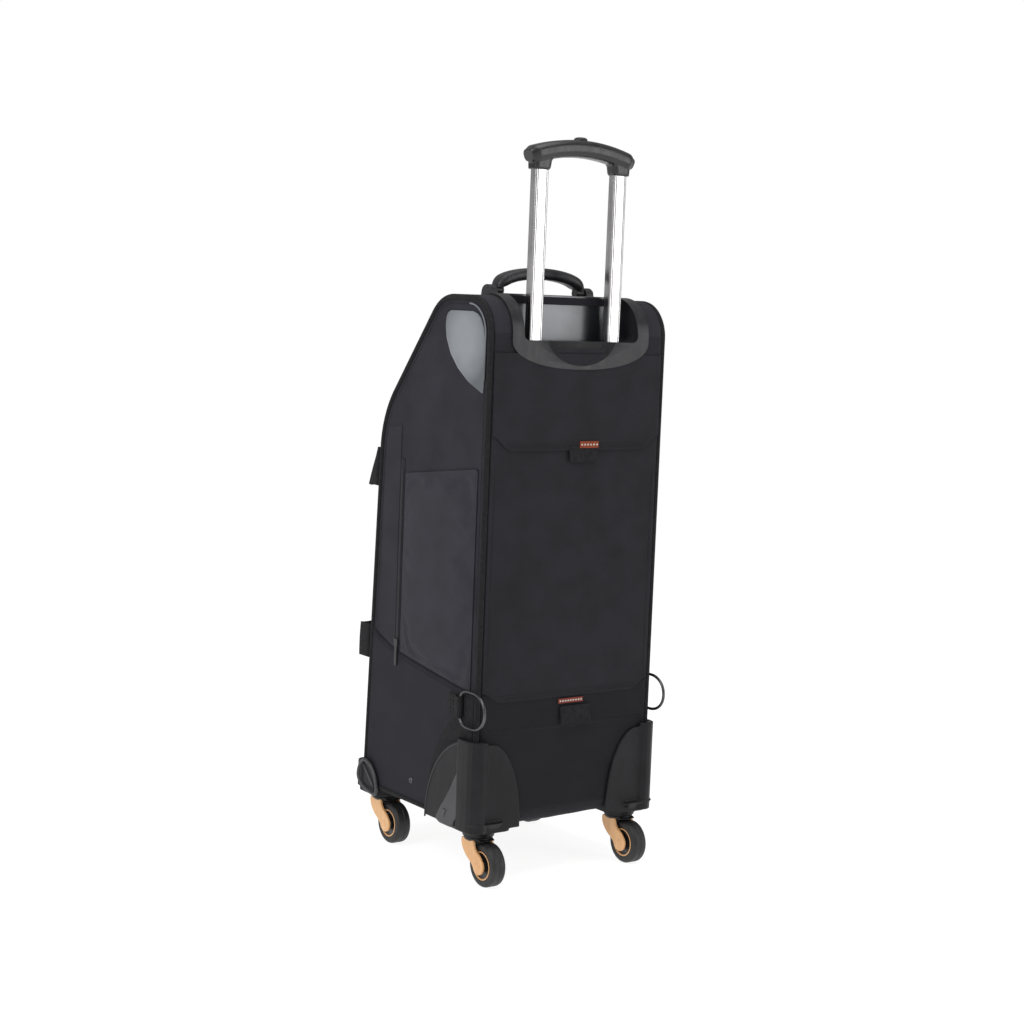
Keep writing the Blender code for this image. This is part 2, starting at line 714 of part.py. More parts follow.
def ring_tab(mats):
    """Webbing folded round the ring's bar and sewn to the side panel."""
    x, y = RING_BAR
    wrap = cylinder("ring_tab_left", (x, y), 0.0045, 0.2250, 0.2510, "Z", mats["trim"], 12)
    wrap_cut = cylinder("ring_tab_bore", (x, y), 0.0028, 0.20, 0.27, "Z", None, 12)
    tail = box("ring_tab_tail", (HALF_WIDTH - 0.002 + GAP, y - 0.032, 0.2250), (x - 0.0029, y - 0.001, 0.2510), None)
    return cut(join(wrap, tail), wrap_cut)


def zip_slider(mats, name, centre, facing, hang):
    """A slider body with its pull. centre is on the zip, facing points away from the bag, hang along the pull."""
    facing, hang = Vector(facing).normalized(), Vector(hang).normalized()
    across = facing.cross(hang)
    frame = Matrix((across, facing, hang)).transposed().to_4x4()
    frame.translation = Vector(centre)
    body = prism(name, rounded_rectangle(0.0090, 0.0110, 0.0020, 2), 0.0006, 0.0042, "Z", mats["steel"])
    pull = prism(name + "_pull", rounded_rectangle(0.0060, 0.030, 0.0020, 2, (0.0, 0.0170)), 0.0022, 0.0040, "Z", None)
    turn = Matrix(((1, 0, 0, 0), (0, 0, 1, 0), (0, 1, 0, 0), (0, 0, 0, 1)))
    for piece in (body, pull):
        piece.data.transform(frame @ turn)
        piece.data.flip_normals()
    return join(body, pull)


# ---------------------------------------------------------------- the assembly
def build():
    clear_scene()
    mats = make_materials()
    for piece in (side_panel(mats), side_piping(mats), side_pocket(mats), d_ring(mats), ring_tab(mats)):
        mirrored(piece.name.replace("left", "right"), piece)
    for make in (back_panel, top_panel, front_frame, base_board, front_door, door_pocket, back_flap, back_pocket):
        make(mats)
    pull_tab(mats, "pull_tab_upper", -0.014, 0.5630, 0.5920)
    pull_tab(mats, "pull_tab_lower", -0.008, 0.2110, 0.2430)
    for height, spans in (("lower", (0.262, 0.310, 0.028, 0.028)), ("upper", (0.508, 0.562, 0.024, 0.006))):
        loop = web_loop(mats, f"web_loop_{height}_left", *spans)
        mirrored(f"web_loop_{height}_right", loop)

    liner_board(mats)
    floor = BOTTOM + SKIN + 2 * BOARD + GAP
    pitch = 2 * BALL_RADIUS + 0.0130
    ball_pad(mats, "ball_pad_lower", floor)
    shelf(mats, "shelf_lower", floor + pitch - BOARD - GAP)
    ball_pad(mats, "ball_pad_upper", floor + pitch)
    shelf(mats, "shelf_upper", floor + 2 * pitch - BOARD - GAP)

    for side, word in ((1, "left"), (-1, "right")):
        foot = BOTTOM + SKIN + 2 * BOARD + GAP
        tube(mats, f"outer_tube_{word}", side * TUBE_X, OUTER_TUBE, foot, 0.7168, "steel")
        tube(mats, f"inner_tube_{word}", side * TUBE_X, INNER_TUBE, 0.630, 0.9570, "tube", plug=0.024)
    trolley_tray(mats)
    trolley_grip(mats)
    push_button(mats)
    release_bar(mats)

    carry_handle(mats)
    mirrored("handle_anchor_right", handle_anchor(mats))
    mirrored("rear_guard_right", rear_guard(mats))
    mirrored("front_guard_right", front_guard(mats))
    for row, y in (("rear", CASTER_Y), ("front", -CASTER_Y)):
        for word, x in (("left", CASTER_X), ("right", -CASTER_X)):
            fork(mats, f"fork_{row}_{word}", x, y)
            wheel(mats, f"{row}_{word}", x, y)

    zip_x = HALF_WIDTH - 0.002 + GAP
    slider = zip_slider(mats, "side_zip_slider_left", (zip_x, -0.0580, 0.2960), (1, 0, 0), (0, 0, -1))
    mirrored("side_zip_slider_right", slider)
    point, normal = at(DOOR_TOP - 0.004)
    point, normal = Vector((0.0, point.x, point.y)), Vector((0.0, normal.x, normal.y))
    down = Vector((1, 0, 0)).cross(normal)
    top_slider = Vector((0.100, point.y, point.z)) + normal * 0.0012
    zip_slider(mats, "door_zip_slider_top", top_slider, normal, down)
    side_slider = Vector((DOOR_HALF - 0.0050, point.y, point.z)) + normal * 0.0012 + down * 0.002
    zip_slider(mats, "door_zip_slider_side", side_slider, normal, down)


build()
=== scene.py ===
"""Looks of an upright wheeled bowling bag: sewn fabric covers, moulded trim, trolley handle, casters and linings.

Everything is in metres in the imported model's frame: the floor is z = 0, +Y is the back panel where the trolley
handle runs, and +X is the side on the left of a person who stands behind the bag.
"""

from __future__ import annotations

import json
import logging
import math
from collections.abc import Callable, Sequence
from dataclasses import dataclass, field
from enum import Enum
from functools import cached_property, lru_cache

import bmesh
import bpy
import numpy as np
from mathutils import Matrix, Vector, noise

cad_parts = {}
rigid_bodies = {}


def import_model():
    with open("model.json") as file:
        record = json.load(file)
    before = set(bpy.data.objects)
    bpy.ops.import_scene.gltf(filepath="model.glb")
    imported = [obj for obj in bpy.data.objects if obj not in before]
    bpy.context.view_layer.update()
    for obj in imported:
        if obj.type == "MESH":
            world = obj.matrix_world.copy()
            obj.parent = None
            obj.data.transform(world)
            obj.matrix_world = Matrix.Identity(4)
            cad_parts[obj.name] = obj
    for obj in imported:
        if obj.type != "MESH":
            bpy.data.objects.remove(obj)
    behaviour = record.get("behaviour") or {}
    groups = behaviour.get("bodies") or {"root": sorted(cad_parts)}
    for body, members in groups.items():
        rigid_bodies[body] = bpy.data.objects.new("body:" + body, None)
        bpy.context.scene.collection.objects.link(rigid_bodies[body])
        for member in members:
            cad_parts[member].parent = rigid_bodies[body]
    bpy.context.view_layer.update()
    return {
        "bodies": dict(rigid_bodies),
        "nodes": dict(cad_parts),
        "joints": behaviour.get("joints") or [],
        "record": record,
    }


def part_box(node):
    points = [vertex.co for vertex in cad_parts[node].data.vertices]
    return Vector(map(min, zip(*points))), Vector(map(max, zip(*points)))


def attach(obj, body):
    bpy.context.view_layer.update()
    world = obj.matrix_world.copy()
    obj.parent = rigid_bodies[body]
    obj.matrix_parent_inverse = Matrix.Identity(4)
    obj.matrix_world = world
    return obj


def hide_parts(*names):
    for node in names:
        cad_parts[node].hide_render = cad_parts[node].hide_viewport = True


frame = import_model()
LOG = logging.getLogger("bowling_bag")
Point = Sequence[float]
Colour = tuple[float, float, float]
Flat = tuple[float, float]
Outline = list[Flat]
Piece = bpy.types.Object
Finish = bpy.types.Material
Socket = bpy.types.NodeSocket


class Side(Enum):
    """The two sides of the bag, with the sign of their X."""

    LEFT = 1
    RIGHT = -1

    @property
    def word(self) -> str:
        """The side's word in a node's name."""
        return self.name.lower()


class Row(Enum):
    """The two rows of casters, with the sign of their Y."""

    REAR = 1
    FRONT = -1

    @property
    def word(self) -> str:
        """The row's word in a node's name."""
        return self.name.lower()


# ---------------------------------------------------------------- finishes
class NodeBench:
    """A material's node tree with short ways to add and join nodes."""

    def __init__(self, name: str) -> None:
        """Starts an empty material with one Principled shader.

        Args:
            name: the material's name.
        """
        self.material = bpy.data.materials.new(name)
        self.material.use_nodes = True
        self.tree = self.material.node_tree
        self.shader = self.tree.nodes["Principled BSDF"]

    def add(self, kind: str, **settings: object) -> bpy.types.Node:
        """Adds a node.

        Args:
            kind: the node's type name.
            settings: attributes of the node, or default values of its inputs by name with _ for a space.

        Returns:
            The new node.
        """
        node = self.tree.nodes.new(kind)
        for key, value in settings.items():
            if hasattr(node, key):
                setattr(node, key, value)
            else:
                node.inputs[key.replace("_", " ")].default_value = value
        return node

    def join(self, source: Socket, target: Socket) -> None:
        """Links two sockets."""
        self.tree.links.new(source, target)

    def maths(self, operation: str, first: object, second: object = 0.0) -> Socket:
        """A Math node.

        Args:
            operation: the node's operation.
            first: a socket or a number.
            second: a socket or a number.

        Returns:
            The node's output socket.
        """
        node = self.add("ShaderNodeMath", operation=operation)
        for slot, value in zip(node.inputs, (first, second)):
            if isinstance(value, Socket):
                self.join(value, slot)
            else:
                slot.default_value = value
        return node.outputs[0]

    def spread(self, source: Socket, low: float, high: float, start: float, end: float) -> Socket:
        """A Map Range node from low..high to start..end."""
        node = self.add("ShaderNodeMapRange")
        self.join(source, node.inputs["Value"])
        for name, value in (("From Min", low), ("From Max", high), ("To Min", start), ("To Max", end)):
            node.inputs[name].default_value = value
        return node.outputs["Result"]

    def blend(self, share: Socket, first: Colour, second: Colour) -> Socket:
        """A colour mix of two fixed colours by a share."""
        node = self.add("ShaderNodeMix", data_type="RGBA")
        self.join(share, node.inputs[0])
        node.inputs[6].default_value = (*first, 1.0)
        node.inputs[7].default_value = (*second, 1.0)
        return node.outputs[2]

    def noise(self, where: Socket | None, scale: float, detail: float = 3.0) -> Socket:
        """A Noise texture's value at a place."""
        node = self.add("ShaderNodeTexNoise", Scale=scale, Detail=detail)
        if where is not None:
            self.join(where, node.inputs["Vector"])
        return node.outputs["Fac"]

    def place(self, stretch: Point = (1.0, 1.0, 1.0)) -> Socket:
        """Object coordinates, stretched along each axis."""
        source = self.add("ShaderNodeTexCoord").outputs["Object"]
        mapping = self.add("ShaderNodeMapping", Scale=stretch)
        self.join(source, mapping.inputs["Vector"])
        return mapping.outputs["Vector"]

    def cloth_place(self) -> Socket:
        """The piece's own cloth map, in metres along the two threads."""
        return self.add("ShaderNodeUVMap", uv_map="cloth").outputs["UV"]

    def bump(self, height: Socket, strength: float, distance: float) -> None:
        """Raises the surface by a height."""
        node = self.add("ShaderNodeBump", Strength=strength, Distance=distance)
        self.join(height, node.inputs["Height"])
        self.join(node.outputs["Normal"], self.shader.inputs["Normal"])

    def set(self, **values: object) -> None:
        """Sets the shader's own sockets, by name with _ for a space."""
        for key, value in values.items():
            self.shader.inputs[key.replace("_", " ")].default_value = value


@dataclass(frozen=True)
class WovenCloth:
    """Plain-woven nylon: threads over and under, soft mottling and a faint sheen."""

    name: str
    colour: Colour
    light: Colour
    thread: float = 0.0011
    depth: float = 0.00035
    roughness: float = 0.78
    sheen: float = 0.03

    def make(self) -> Finish:
        """Builds the material."""
        bench = NodeBench(self.name)
        cloth = bench.cloth_place()
        across = bench.add("ShaderNodeTexWave", bands_direction="X", Scale=0.314 / self.thread)
        down = bench.add("ShaderNodeTexWave", bands_direction="Y", Scale=0.314 / self.thread)
        turns = bench.add("ShaderNodeTexChecker", Scale=1.0 / self.thread)
        for node in (across, down, turns):
            bench.join(cloth, node.inputs["Vector"])
        over = bench.maths("MULTIPLY", across.outputs["Fac"], turns.outputs["Fac"])
        under = bench.maths("SUBTRACT", 1.0, turns.outputs["Fac"])
        weave = bench.maths("ADD", over, bench.maths("MULTIPLY", down.outputs["Fac"], under))
        mottle = bench.noise(bench.place(), 26.0, 4.0)
        share = bench.spread(bench.maths("ADD", bench.maths("MULTIPLY", weave, 0.45), mottle), 0.35, 1.0, 0.0, 1.0)
        bench.join(bench.blend(share, self.colour, self.light), bench.shader.inputs["Base Color"])
        bench.join(bench.spread(mottle, 0.3, 0.7, self.roughness - 0.08, self.roughness + 0.08), bench.shader.inputs["Roughness"])
        bench.bump(weave, 0.55, self.depth)
        bench.set(Sheen_Weight=self.sheen, Sheen_Roughness=0.5, Specular_IOR_Level=0.15)
        return bench.material


@dataclass(frozen=True)
class RibbedWebbing:
    """Narrow woven tape with ribs along it and dark edges worn paler."""

    name: str
    colour: Colour
    light: Colour
    rib: float = 0.0018

    def make(self) -> Finish:
        """Builds the material."""
        bench = NodeBench(self.name)
        cloth = bench.cloth_place()
        ribs = bench.add("ShaderNodeTexWave", bands_direction="X", Scale=0.314 / self.rib)
        picks = bench.add("ShaderNodeTexWave", bands_direction="Y", Scale=0.628 / self.rib)
        for node in (ribs, picks):
            bench.join(cloth, node.inputs["Vector"])
        height = bench.maths("ADD", ribs.outputs["Fac"], bench.maths("MULTIPLY", picks.outputs["Fac"], 0.4))
        fuzz = bench.noise(bench.place(), 180.0, 3.0)
        share = bench.spread(bench.maths("ADD", bench.maths("MULTIPLY", height, 0.4), fuzz), 0.4, 1.1, 0.0, 1.0)
        bench.join(bench.blend(share, self.colour, self.light), bench.shader.inputs["Base Color"])
        bench.bump(height, 0.6, 0.0003)
        bench.set(Roughness=0.82, Sheen_Weight=0.03, Specular_IOR_Level=0.15)
        return bench.material


@dataclass(frozen=True)
class MouldedPlastic:
    """Injection-moulded plastic with a fine grain, and scuffs where the grain is rubbed."""

    name: str
    colour: Colour
    light: Colour
    roughness: float = 0.42
    grain: float = 900.0
    grain_depth: float = 0.00012
    coat: float = 0.0
    specular: float = 0.5

    def make(self) -> Finish:
        """Builds the material."""
        bench = NodeBench(self.name)
        place = bench.place()
        cells = bench.add("ShaderNodeTexVoronoi", Scale=self.grain)
        bench.join(place, cells.inputs["Vector"])
        clouds = bench.noise(place, 14.0, 5.0)
        scuffs = bench.noise(bench.place((1.0, 1.0, 0.25)), 120.0, 6.0)
        share = bench.spread(bench.maths("MULTIPLY", clouds, scuffs), 0.15, 0.42, 0.0, 1.0)
        bench.join(bench.blend(share, self.colour, self.light), bench.shader.inputs["Base Color"])
        rough = bench.spread(scuffs, 0.3, 0.7, self.roughness - 0.07, self.roughness + 0.1)
        bench.join(rough, bench.shader.inputs["Roughness"])
        bench.bump(cells.outputs["Distance"], 0.35, self.grain_depth)
        bench.set(Coat_Weight=self.coat, Coat_Roughness=0.25, Specular_IOR_Level=self.specular)
        return bench.material


@dataclass(frozen=True)
class CoatedPanel:
    """Glossy coated fabric with a painted highlight: paler in a soft patch about a middle and darker towards its rim as
    painted shade.
    """

    name: str
    colour: Colour
    light: Colour
    middle: tuple[float, float]
    reach: tuple[float, float]
    axes: str = "YZ"
    roughness: float = 0.3

    def make(self) -> Finish:
        """Builds the material."""
        bench = NodeBench(self.name)
        place = bench.add("ShaderNodeTexCoord").outputs["Object"]
        split = bench.add("ShaderNodeSeparateXYZ")
        bench.join(place, split.inputs[0])
        parts = []
        for axis, centre, reach in zip(self.axes, self.middle, self.reach):
            away = bench.maths("DIVIDE", bench.maths("SUBTRACT", split.outputs[axis], centre), reach)
            parts.append(bench.maths("MULTIPLY", away, away))
        away = bench.maths("ADD", *parts)
        clouds = bench.noise(place, 38.0, 4.0)
        # Painted highlight about the middle, fading to painted shade towards the rim.
        share = bench.spread(bench.maths("ADD", away, bench.maths("MULTIPLY", clouds, 0.5)), 0.35, 1.45, 1.0, 0.0)
        bench.join(bench.blend(share, self.colour, self.light), bench.shader.inputs["Base Color"])
        bench.bump(bench.noise(place, 900.0, 2.0), 0.12, 0.0001)
        bench.set(Roughness=self.roughness, Coat_Weight=0.3, Coat_Roughness=0.2)
        return bench.material


@dataclass(frozen=True)
class BrightMetal:
    """Metal drawn or brushed along Z, with faint streaks."""

    name: str
    colour: Colour
    dark: Colour
    roughness: float = 0.2

    def make(self) -> Finish:
        """Builds the material."""
        bench = NodeBench(self.name)
        streaks = bench.noise(bench.place((1.0, 1.0, 0.02)), 900.0, 4.0)
        marks = bench.noise(bench.place(), 40.0, 5.0)
        share = bench.spread(bench.maths("MULTIPLY", streaks, marks), 0.12, 0.45, 0.0, 1.0)
        bench.join(bench.blend(share, self.dark, self.colour), bench.shader.inputs["Base Color"])
        rough = bench.spread(streaks, 0.25, 0.75, self.roughness - 0.06, self.roughness + 0.1)
        bench.join(rough, bench.shader.inputs["Roughness"])
        bench.bump(streaks, 0.15, 0.00005)
        bench.set(Metallic=1.0, Anisotropic=0.35)
        return bench.material


@dataclass(frozen=True)
class TyreRubber:
    """Dark rubber with a dusty tread."""

    name: str
    colour: Colour
    dust: Colour

    def make(self) -> Finish:
        """Builds the material."""
        bench = NodeBench(self.name)
        place = bench.place()
        dirt = bench.noise(place, 160.0, 6.0)
        share = bench.spread(bench.maths("MULTIPLY", dirt, bench.noise(place, 30.0, 2.0)), 0.2, 0.45, 0.0, 1.0)
        bench.join(bench.blend(share, self.colour, self.dust), bench.shader.inputs["Base Color"])
        bench.join(bench.spread(dirt, 0.3, 0.7, 0.42, 0.66), bench.shader.inputs["Roughness"])
        bench.bump(dirt, 0.25, 0.0002)
        return bench.material


@dataclass(frozen=True)
class PaddedLining:
    """Brushed lining over foam: a soft nap and a wide mottle."""

    name: str
    colour: Colour
    light: Colour

    def make(self) -> Finish:
        """Builds the material."""
        bench = NodeBench(self.name)
        place = bench.place()
        nap = bench.noise(place, 1400.0, 2.0)
        mottle = bench.noise(place, 22.0, 4.0)
        share = bench.spread(bench.maths("ADD", bench.maths("MULTIPLY", nap, 0.5), mottle), 0.5, 1.0, 0.0, 1.0)
        bench.join(bench.blend(share, self.colour, self.light), bench.shader.inputs["Base Color"])
        bench.bump(nap, 0.4, 0.0004)
        bench.set(Roughness=0.92, Sheen_Weight=0.3, Specular_IOR_Level=0.25)
        return bench.material


@dataclass
class Finishes:
    """Every finish of the bag, made once."""

    body_cloth: WovenCloth = WovenCloth("body_cloth", (0.012, 0.0118, 0.0155), (0.03, 0.0295, 0.038))
    # The body cloth darkened as painted shade on the back, which is less lit than the sides.
    back_cloth: WovenCloth = WovenCloth("back_cloth", (0.009, 0.0088, 0.0115), (0.024, 0.0235, 0.029))
    pocket_cloth: WovenCloth = WovenCloth("pocket_cloth", (0.02, 0.0195, 0.025), (0.041, 0.04, 0.05), thread=0.0014)
    band_cloth: WovenCloth = WovenCloth("band_cloth", (0.0135, 0.013, 0.017), (0.033, 0.032, 0.041))
    base_cloth: WovenCloth = WovenCloth("base_cloth", (0.01, 0.0098, 0.0135), (0.024, 0.0235, 0.031), thread=0.0014)
    low_cloth: WovenCloth = WovenCloth("low_cloth", (0.0062, 0.006, 0.0072), (0.016, 0.0156, 0.018))
    # Grey coated patch with painted highlight and shade: paler about (0.082, 0.722), darker towards its rim.
    coated_patch: CoatedPanel = CoatedPanel("coated_patch", (0.075, 0.083, 0.092), (0.225, 0.24, 0.262), (0.082, 0.722), (0.052, 0.058))
    webbing: RibbedWebbing = RibbedWebbing("black_webbing", (0.006, 0.006, 0.007), (0.02, 0.02, 0.022))
    piping: RibbedWebbing = RibbedWebbing("piping_tape", (0.006, 0.006, 0.007), (0.02, 0.02, 0.022), rib=0.0012)
    orange_label: RibbedWebbing = RibbedWebbing("orange_label", (0.17, 0.03, 0.014), (0.31, 0.07, 0.03), rib=0.0009)
    red_label: RibbedWebbing = RibbedWebbing("red_label", (0.15, 0.026, 0.02), (0.27, 0.06, 0.045), rib=0.0009)
    pale_thread: RibbedWebbing = RibbedWebbing("pale_thread", (0.45, 0.42, 0.38), (0.62, 0.58, 0.52), rib=0.0005)
    dark_thread: RibbedWebbing = RibbedWebbing("dark_thread", (0.016, 0.016, 0.018), (0.04, 0.04, 0.045), rib=0.0005)
    trim_plastic: MouldedPlastic = MouldedPlastic("trim_plastic", (0.012, 0.012, 0.014), (0.024, 0.024, 0.027), specular=0.4)
    guard_plastic: MouldedPlastic = MouldedPlastic(
        "guard_plastic", (0.006, 0.006, 0.0072), (0.014, 0.014, 0.016), roughness=0.46, specular=0.22
    )
    # A paler copy of the guard plastic: painted light on the parts of the guards that face the lamps.
    rim_plastic: MouldedPlastic = MouldedPlastic("rim_plastic", (0.03, 0.03, 0.034), (0.058, 0.058, 0.064), specular=0.5)
    tray_plastic: MouldedPlastic = MouldedPlastic(
        "tray_plastic", (0.011, 0.011, 0.013), (0.021, 0.021, 0.024), roughness=0.36, specular=0.32, coat=0.06
    )
    # Painted reflection: the recess's inner wall is pale grey, palest about its middle, for the bright studio that it
    # mirrors.
    recess_plastic: CoatedPanel = CoatedPanel("recess_plastic", (0.016, 0.018, 0.022), (0.185, 0.198, 0.218), (0.026, 0.745), (0.058, 0.062), "XZ")
    grip_plastic: MouldedPlastic = MouldedPlastic(
        "grip_plastic", (0.0075, 0.0075, 0.0085), (0.016, 0.016, 0.018), roughness=0.3, grain=1400.0, specular=0.4, coat=0.2
    )
    gold_plastic: MouldedPlastic = MouldedPlastic(
        "gold_plastic", (0.7, 0.37, 0.15), (0.84, 0.5, 0.235), roughness=0.33, grain=1200.0, grain_depth=0.00004, coat=0.2
    )
    pale_gold: MouldedPlastic = MouldedPlastic("pale_gold", (0.44, 0.3, 0.2), (0.58, 0.42, 0.3), roughness=0.36, grain=1200.0)
    tube_metal: BrightMetal = BrightMetal("bright_tube", (0.66, 0.65, 0.65), (0.44, 0.43, 0.44), roughness=0.2)
    dark_metal: BrightMetal = BrightMetal("black_nickel", (0.14, 0.14, 0.15), (0.06, 0.06, 0.065), roughness=0.28)
    tyre: TyreRubber = TyreRubber("tyre_rubber", (0.007, 0.007, 0.0078), (0.026, 0.025, 0.024))
    lining: PaddedLining = PaddedLining("padded_lining", (0.04, 0.04, 0.044), (0.085, 0.085, 0.09))
    board: MouldedPlastic = MouldedPlastic("liner_board", (0.022, 0.022, 0.024), (0.045, 0.045, 0.048), roughness=0.6)
    made: dict[str, Finish] = field(default_factory=dict)

    def of(self, name: str) -> Finish:
        """The material of a finish, made on first use.

        Args:
            name: the finish's field name.

        Returns:
            The material.
        """
        if name not in self.made:
            self.made[name] = getattr(self, name).make()
        return self.made[name]


# ---------------------------------------------------------------- mesh making
def fold_noise(a: float, b: float, seed: float) -> float:
    """Soft cloth folds from -1 to 1, at two lengths.

    Args:
        a: position along one thread, in metres.
        b: position along the other.
        seed: which pattern.

    Returns:
        The height of the fold.
    """
    wide = noise.noise(Vector((a * 9.0, b * 5.0, seed)))
    fine = noise.noise(Vector((a * 30.0 + b * 9.0, b * 16.0, seed + 7.3)))
    return 0.7 * wide + 0.3 * fine


def ease(value: float) -> float:
    """A smooth step of a value limited to 0..1."""
    value = min(max(value, 0.0), 1.0)
    return value * value * (3.0 - 2.0 * value)


def add_piece(name: str, mesh: bpy.types.Mesh, finish: Finish | None) -> Piece:
    """Puts a mesh in the scene with one finish."""
    piece = bpy.data.objects.new(name, mesh)
    bpy.context.scene.collection.objects.link(piece)
    if finish is not None:
        mesh.materials.clear()
        mesh.materials.append(finish)
    return piece


def surface(
    name: str,
    points: Sequence[Point],
    faces: Sequence[Sequence[int]],
    finish: Finish,
    cloth: Sequence[Flat] | None = None,
    closed: bool = True,
    outward: Point | None = None,
    sharp: float | None = None,
) -> Piece:
    """A smooth mesh with a cloth map.

    Args:
        name: the piece's name.
        points: its vertices.
        faces: vertex numbers of each face.
        finish: its material.
        cloth: thread position of each vertex, in metres.
        closed: whether it is a closed body, whose faces are turned outwards.
        outward: for an open sheet, the way its faces mostly look.
        sharp: the angle in degrees above which an edge stays sharp.

    Returns:
        The piece.
    """
    mesh = bpy.data.meshes.new(name)
    mesh.from_pydata([tuple(p) for p in points], [], [tuple(f) for f in faces])
    bm = bmesh.new()
    bm.from_mesh(mesh)
    if closed:
        bmesh.ops.recalc_face_normals(bm, faces=bm.faces)
    elif outward is not None:
        look = Vector(outward)
        if sum(f.normal.dot(look) * f.calc_area() for f in bm.faces) < 0:
            bmesh.ops.reverse_faces(bm, faces=bm.faces)
    if cloth is not None:
        layer = bm.loops.layers.uv.new("cloth")
        bm.verts.ensure_lookup_table()
        for face in bm.faces:
            for loop in face.loops:
                loop[layer].uv = cloth[loop.vert.index]
    bm.to_mesh(mesh)
    bm.free()
    mesh.shade_smooth()
    if sharp is not None:
        mesh.set_sharp_from_angle(angle=math.radians(sharp))
    return add_piece(name, mesh, finish)


def thicken(piece: Piece, thickness: float, bevel: float = 0.0) -> Piece:
    """Gives an open sheet a thickness inwards, with softened edges.

    Args:
        piece: the sheet.
        thickness: in metres.
        bevel: width of the edge rounding, none when 0.

    Returns:
        The piece.
    """
    wall = piece.modifiers.new("thickness", "SOLIDIFY")
    wall.thickness = thickness
    wall.offset = -1.0
    if bevel:
        edge = piece.modifiers.new("edge", "BEVEL")
        edge.width = bevel
        edge.segments = 2
        edge.limit_method = "ANGLE"
        edge.angle_limit = math.radians(50)
    return piece


def sheet_grid(
    name: str,
    rows: Sequence[Sequence[Point]],
    finish: Finish,
    outward: Point,
    thickness: float,
    keep: Callable[[int, int], bool] | None = None,
    bevel: float = 0.0,
) -> Piece:
    """An open sheet over a grid of points, given a thickness.

    Args:
        name: the piece's name.
        rows: the grid's points, row by row.
        finish: its material.
        outward: the way it mostly looks.
        thickness: in metres, inwards.
        keep: tells which cell (row, column) is kept.
        bevel: width of the edge rounding.

    Returns:
        The piece.
    """
    grid = np.array([[tuple(p) for p in row] for row in rows])
    count, width = grid.shape[:2]
    across = np.zeros((count, width))
    across[:, 1:] = np.cumsum(np.linalg.norm(np.diff(grid, axis=1), axis=2), axis=1)
    across -= across[:, -1:] / 2
    down = np.zeros((count, width))
    down[1:] = np.cumsum(np.linalg.norm(np.diff(grid, axis=0), axis=2), axis=0)
    faces = [
        (r * width + c, r * width + c + 1, (r + 1) * width + c + 1, (r + 1) * width + c)
        for r in range(count - 1)
        for c in range(width - 1)
        if keep is None or keep(r, c)
    ]
    used = sorted({i for f in faces for i in f})
    number = {old: new for new, old in enumerate(used)}
    flat = grid.reshape(-1, 3)
    cloth = np.stack([across.ravel(), down.ravel()], axis=1)
    piece = surface(
        name,
        [flat[i] for i in used],
        [[number[i] for i in f] for f in faces],
        finish,
        [tuple(cloth[i]) for i in used],
        closed=False,
        outward=outward,
    )
    return thicken(piece, thickness, bevel)


def swept(
    name: str,
    path: Sequence[Point],
    section: Callable[[float], Sequence[Flat]],
    across: Point,
    finish: Finish,
    closed: bool = False,
    sharp: float | None = None,
) -> Piece:
    """A section carried along a path that lies in one plane.

    Args:
        name: the piece's name.
        path: the centre line.
        section: the (sideways, outward) outline at a share 0..1 of the path.
        across: the path plane's normal.
        finish: its material.
        closed: whether the path is a loop.
        sharp: the angle in degrees above which an edge stays sharp.

    Returns:
        The piece, capped at its ends when open.
    """
    side = Vector(across).normalized()
    line = [Vector(p) for p in path]
    count = len(line)
    points, cloth, run = [], [], 0.0
    size = len(section(0.0))
    for i, point in enumerate(line):
        before = line[i - 1] if i or closed else point
        after = line[(i + 1) % count] if closed or i + 1 < count else point
        out = (after - before).normalized().cross(side).normalized()
        run += (point - line[i - 1]).length if i else 0.0
        around = 0.0
        outline = section(i / max(count - 1, 1))
        for k, (a, b) in enumerate(outline):
            points.append(point + side * a + out * b)
            around += math.dist(outline[k], outline[k - 1]) if k else 0.0
            cloth.append((around, run))
    faces = []
    for i in range(count if closed else count - 1):
        j = (i + 1) % count
        for k in range(size):
            m = (k + 1) % size
            faces.append((i * size + k, i * size + m, j * size + m, j * size + k))
    if not closed:
        faces += [tuple(range(size)), tuple((count - 1) * size + k for k in reversed(range(size)))]
    return surface(name, points, faces, finish, cloth, sharp=sharp)


def turned(
    name: str,
    profile: Sequence[Flat],
    centre: Point,
    finish: Finish,
    steps: int = 64,
    sharp: float = 35.0,
    upright: bool = False,
) -> Piece:
    """A closed (radius, along) profile turned about the X axis through centre, or about Z when upright.

    Args:
        name: the piece's name.
        profile: the section, in order.
        centre: a point on the axis.
        finish: its material.
        steps: facets round the axis.
        sharp: the angle in degrees above which an edge stays sharp.
        upright: whether the axis is Z.

    Returns:
        The piece.
    """
    middle, size = Vector(centre), len(profile)
    points = []
    for i in range(steps):
        a, b = math.cos(2 * math.pi * i / steps), math.sin(2 * math.pi * i / steps)
        points += [middle + Vector((r * a, r * b, x) if upright else (x, r * a, r * b)) for r, x in profile]
    faces = [
        (i * size + k, i * size + (k + 1) % size, (i + 1) % steps * size + (k + 1) % size, (i + 1) % steps * size + k)
        for i in range(steps)
        for k in range(size)
    ]
    return surface(name, points, faces, finish, sharp=sharp)


def lofted(name: str, rings: Sequence[Sequence[Point]], finish: Finish) -> Piece:
    """A closed body skinned over rings of the same count, with flat ends."""
    size, last = len(rings[0]), len(rings) - 1
    faces = [tuple(range(size)), tuple(last * size + k for k in range(size))]
    for r in range(last):
        faces += [(r * size + k, r * size + (k + 1) % size, (r + 1) * size + (k + 1) % size, (r + 1) * size + k) for k in range(size)]
    return surface(name, [p for ring in rings for p in ring], faces, finish)


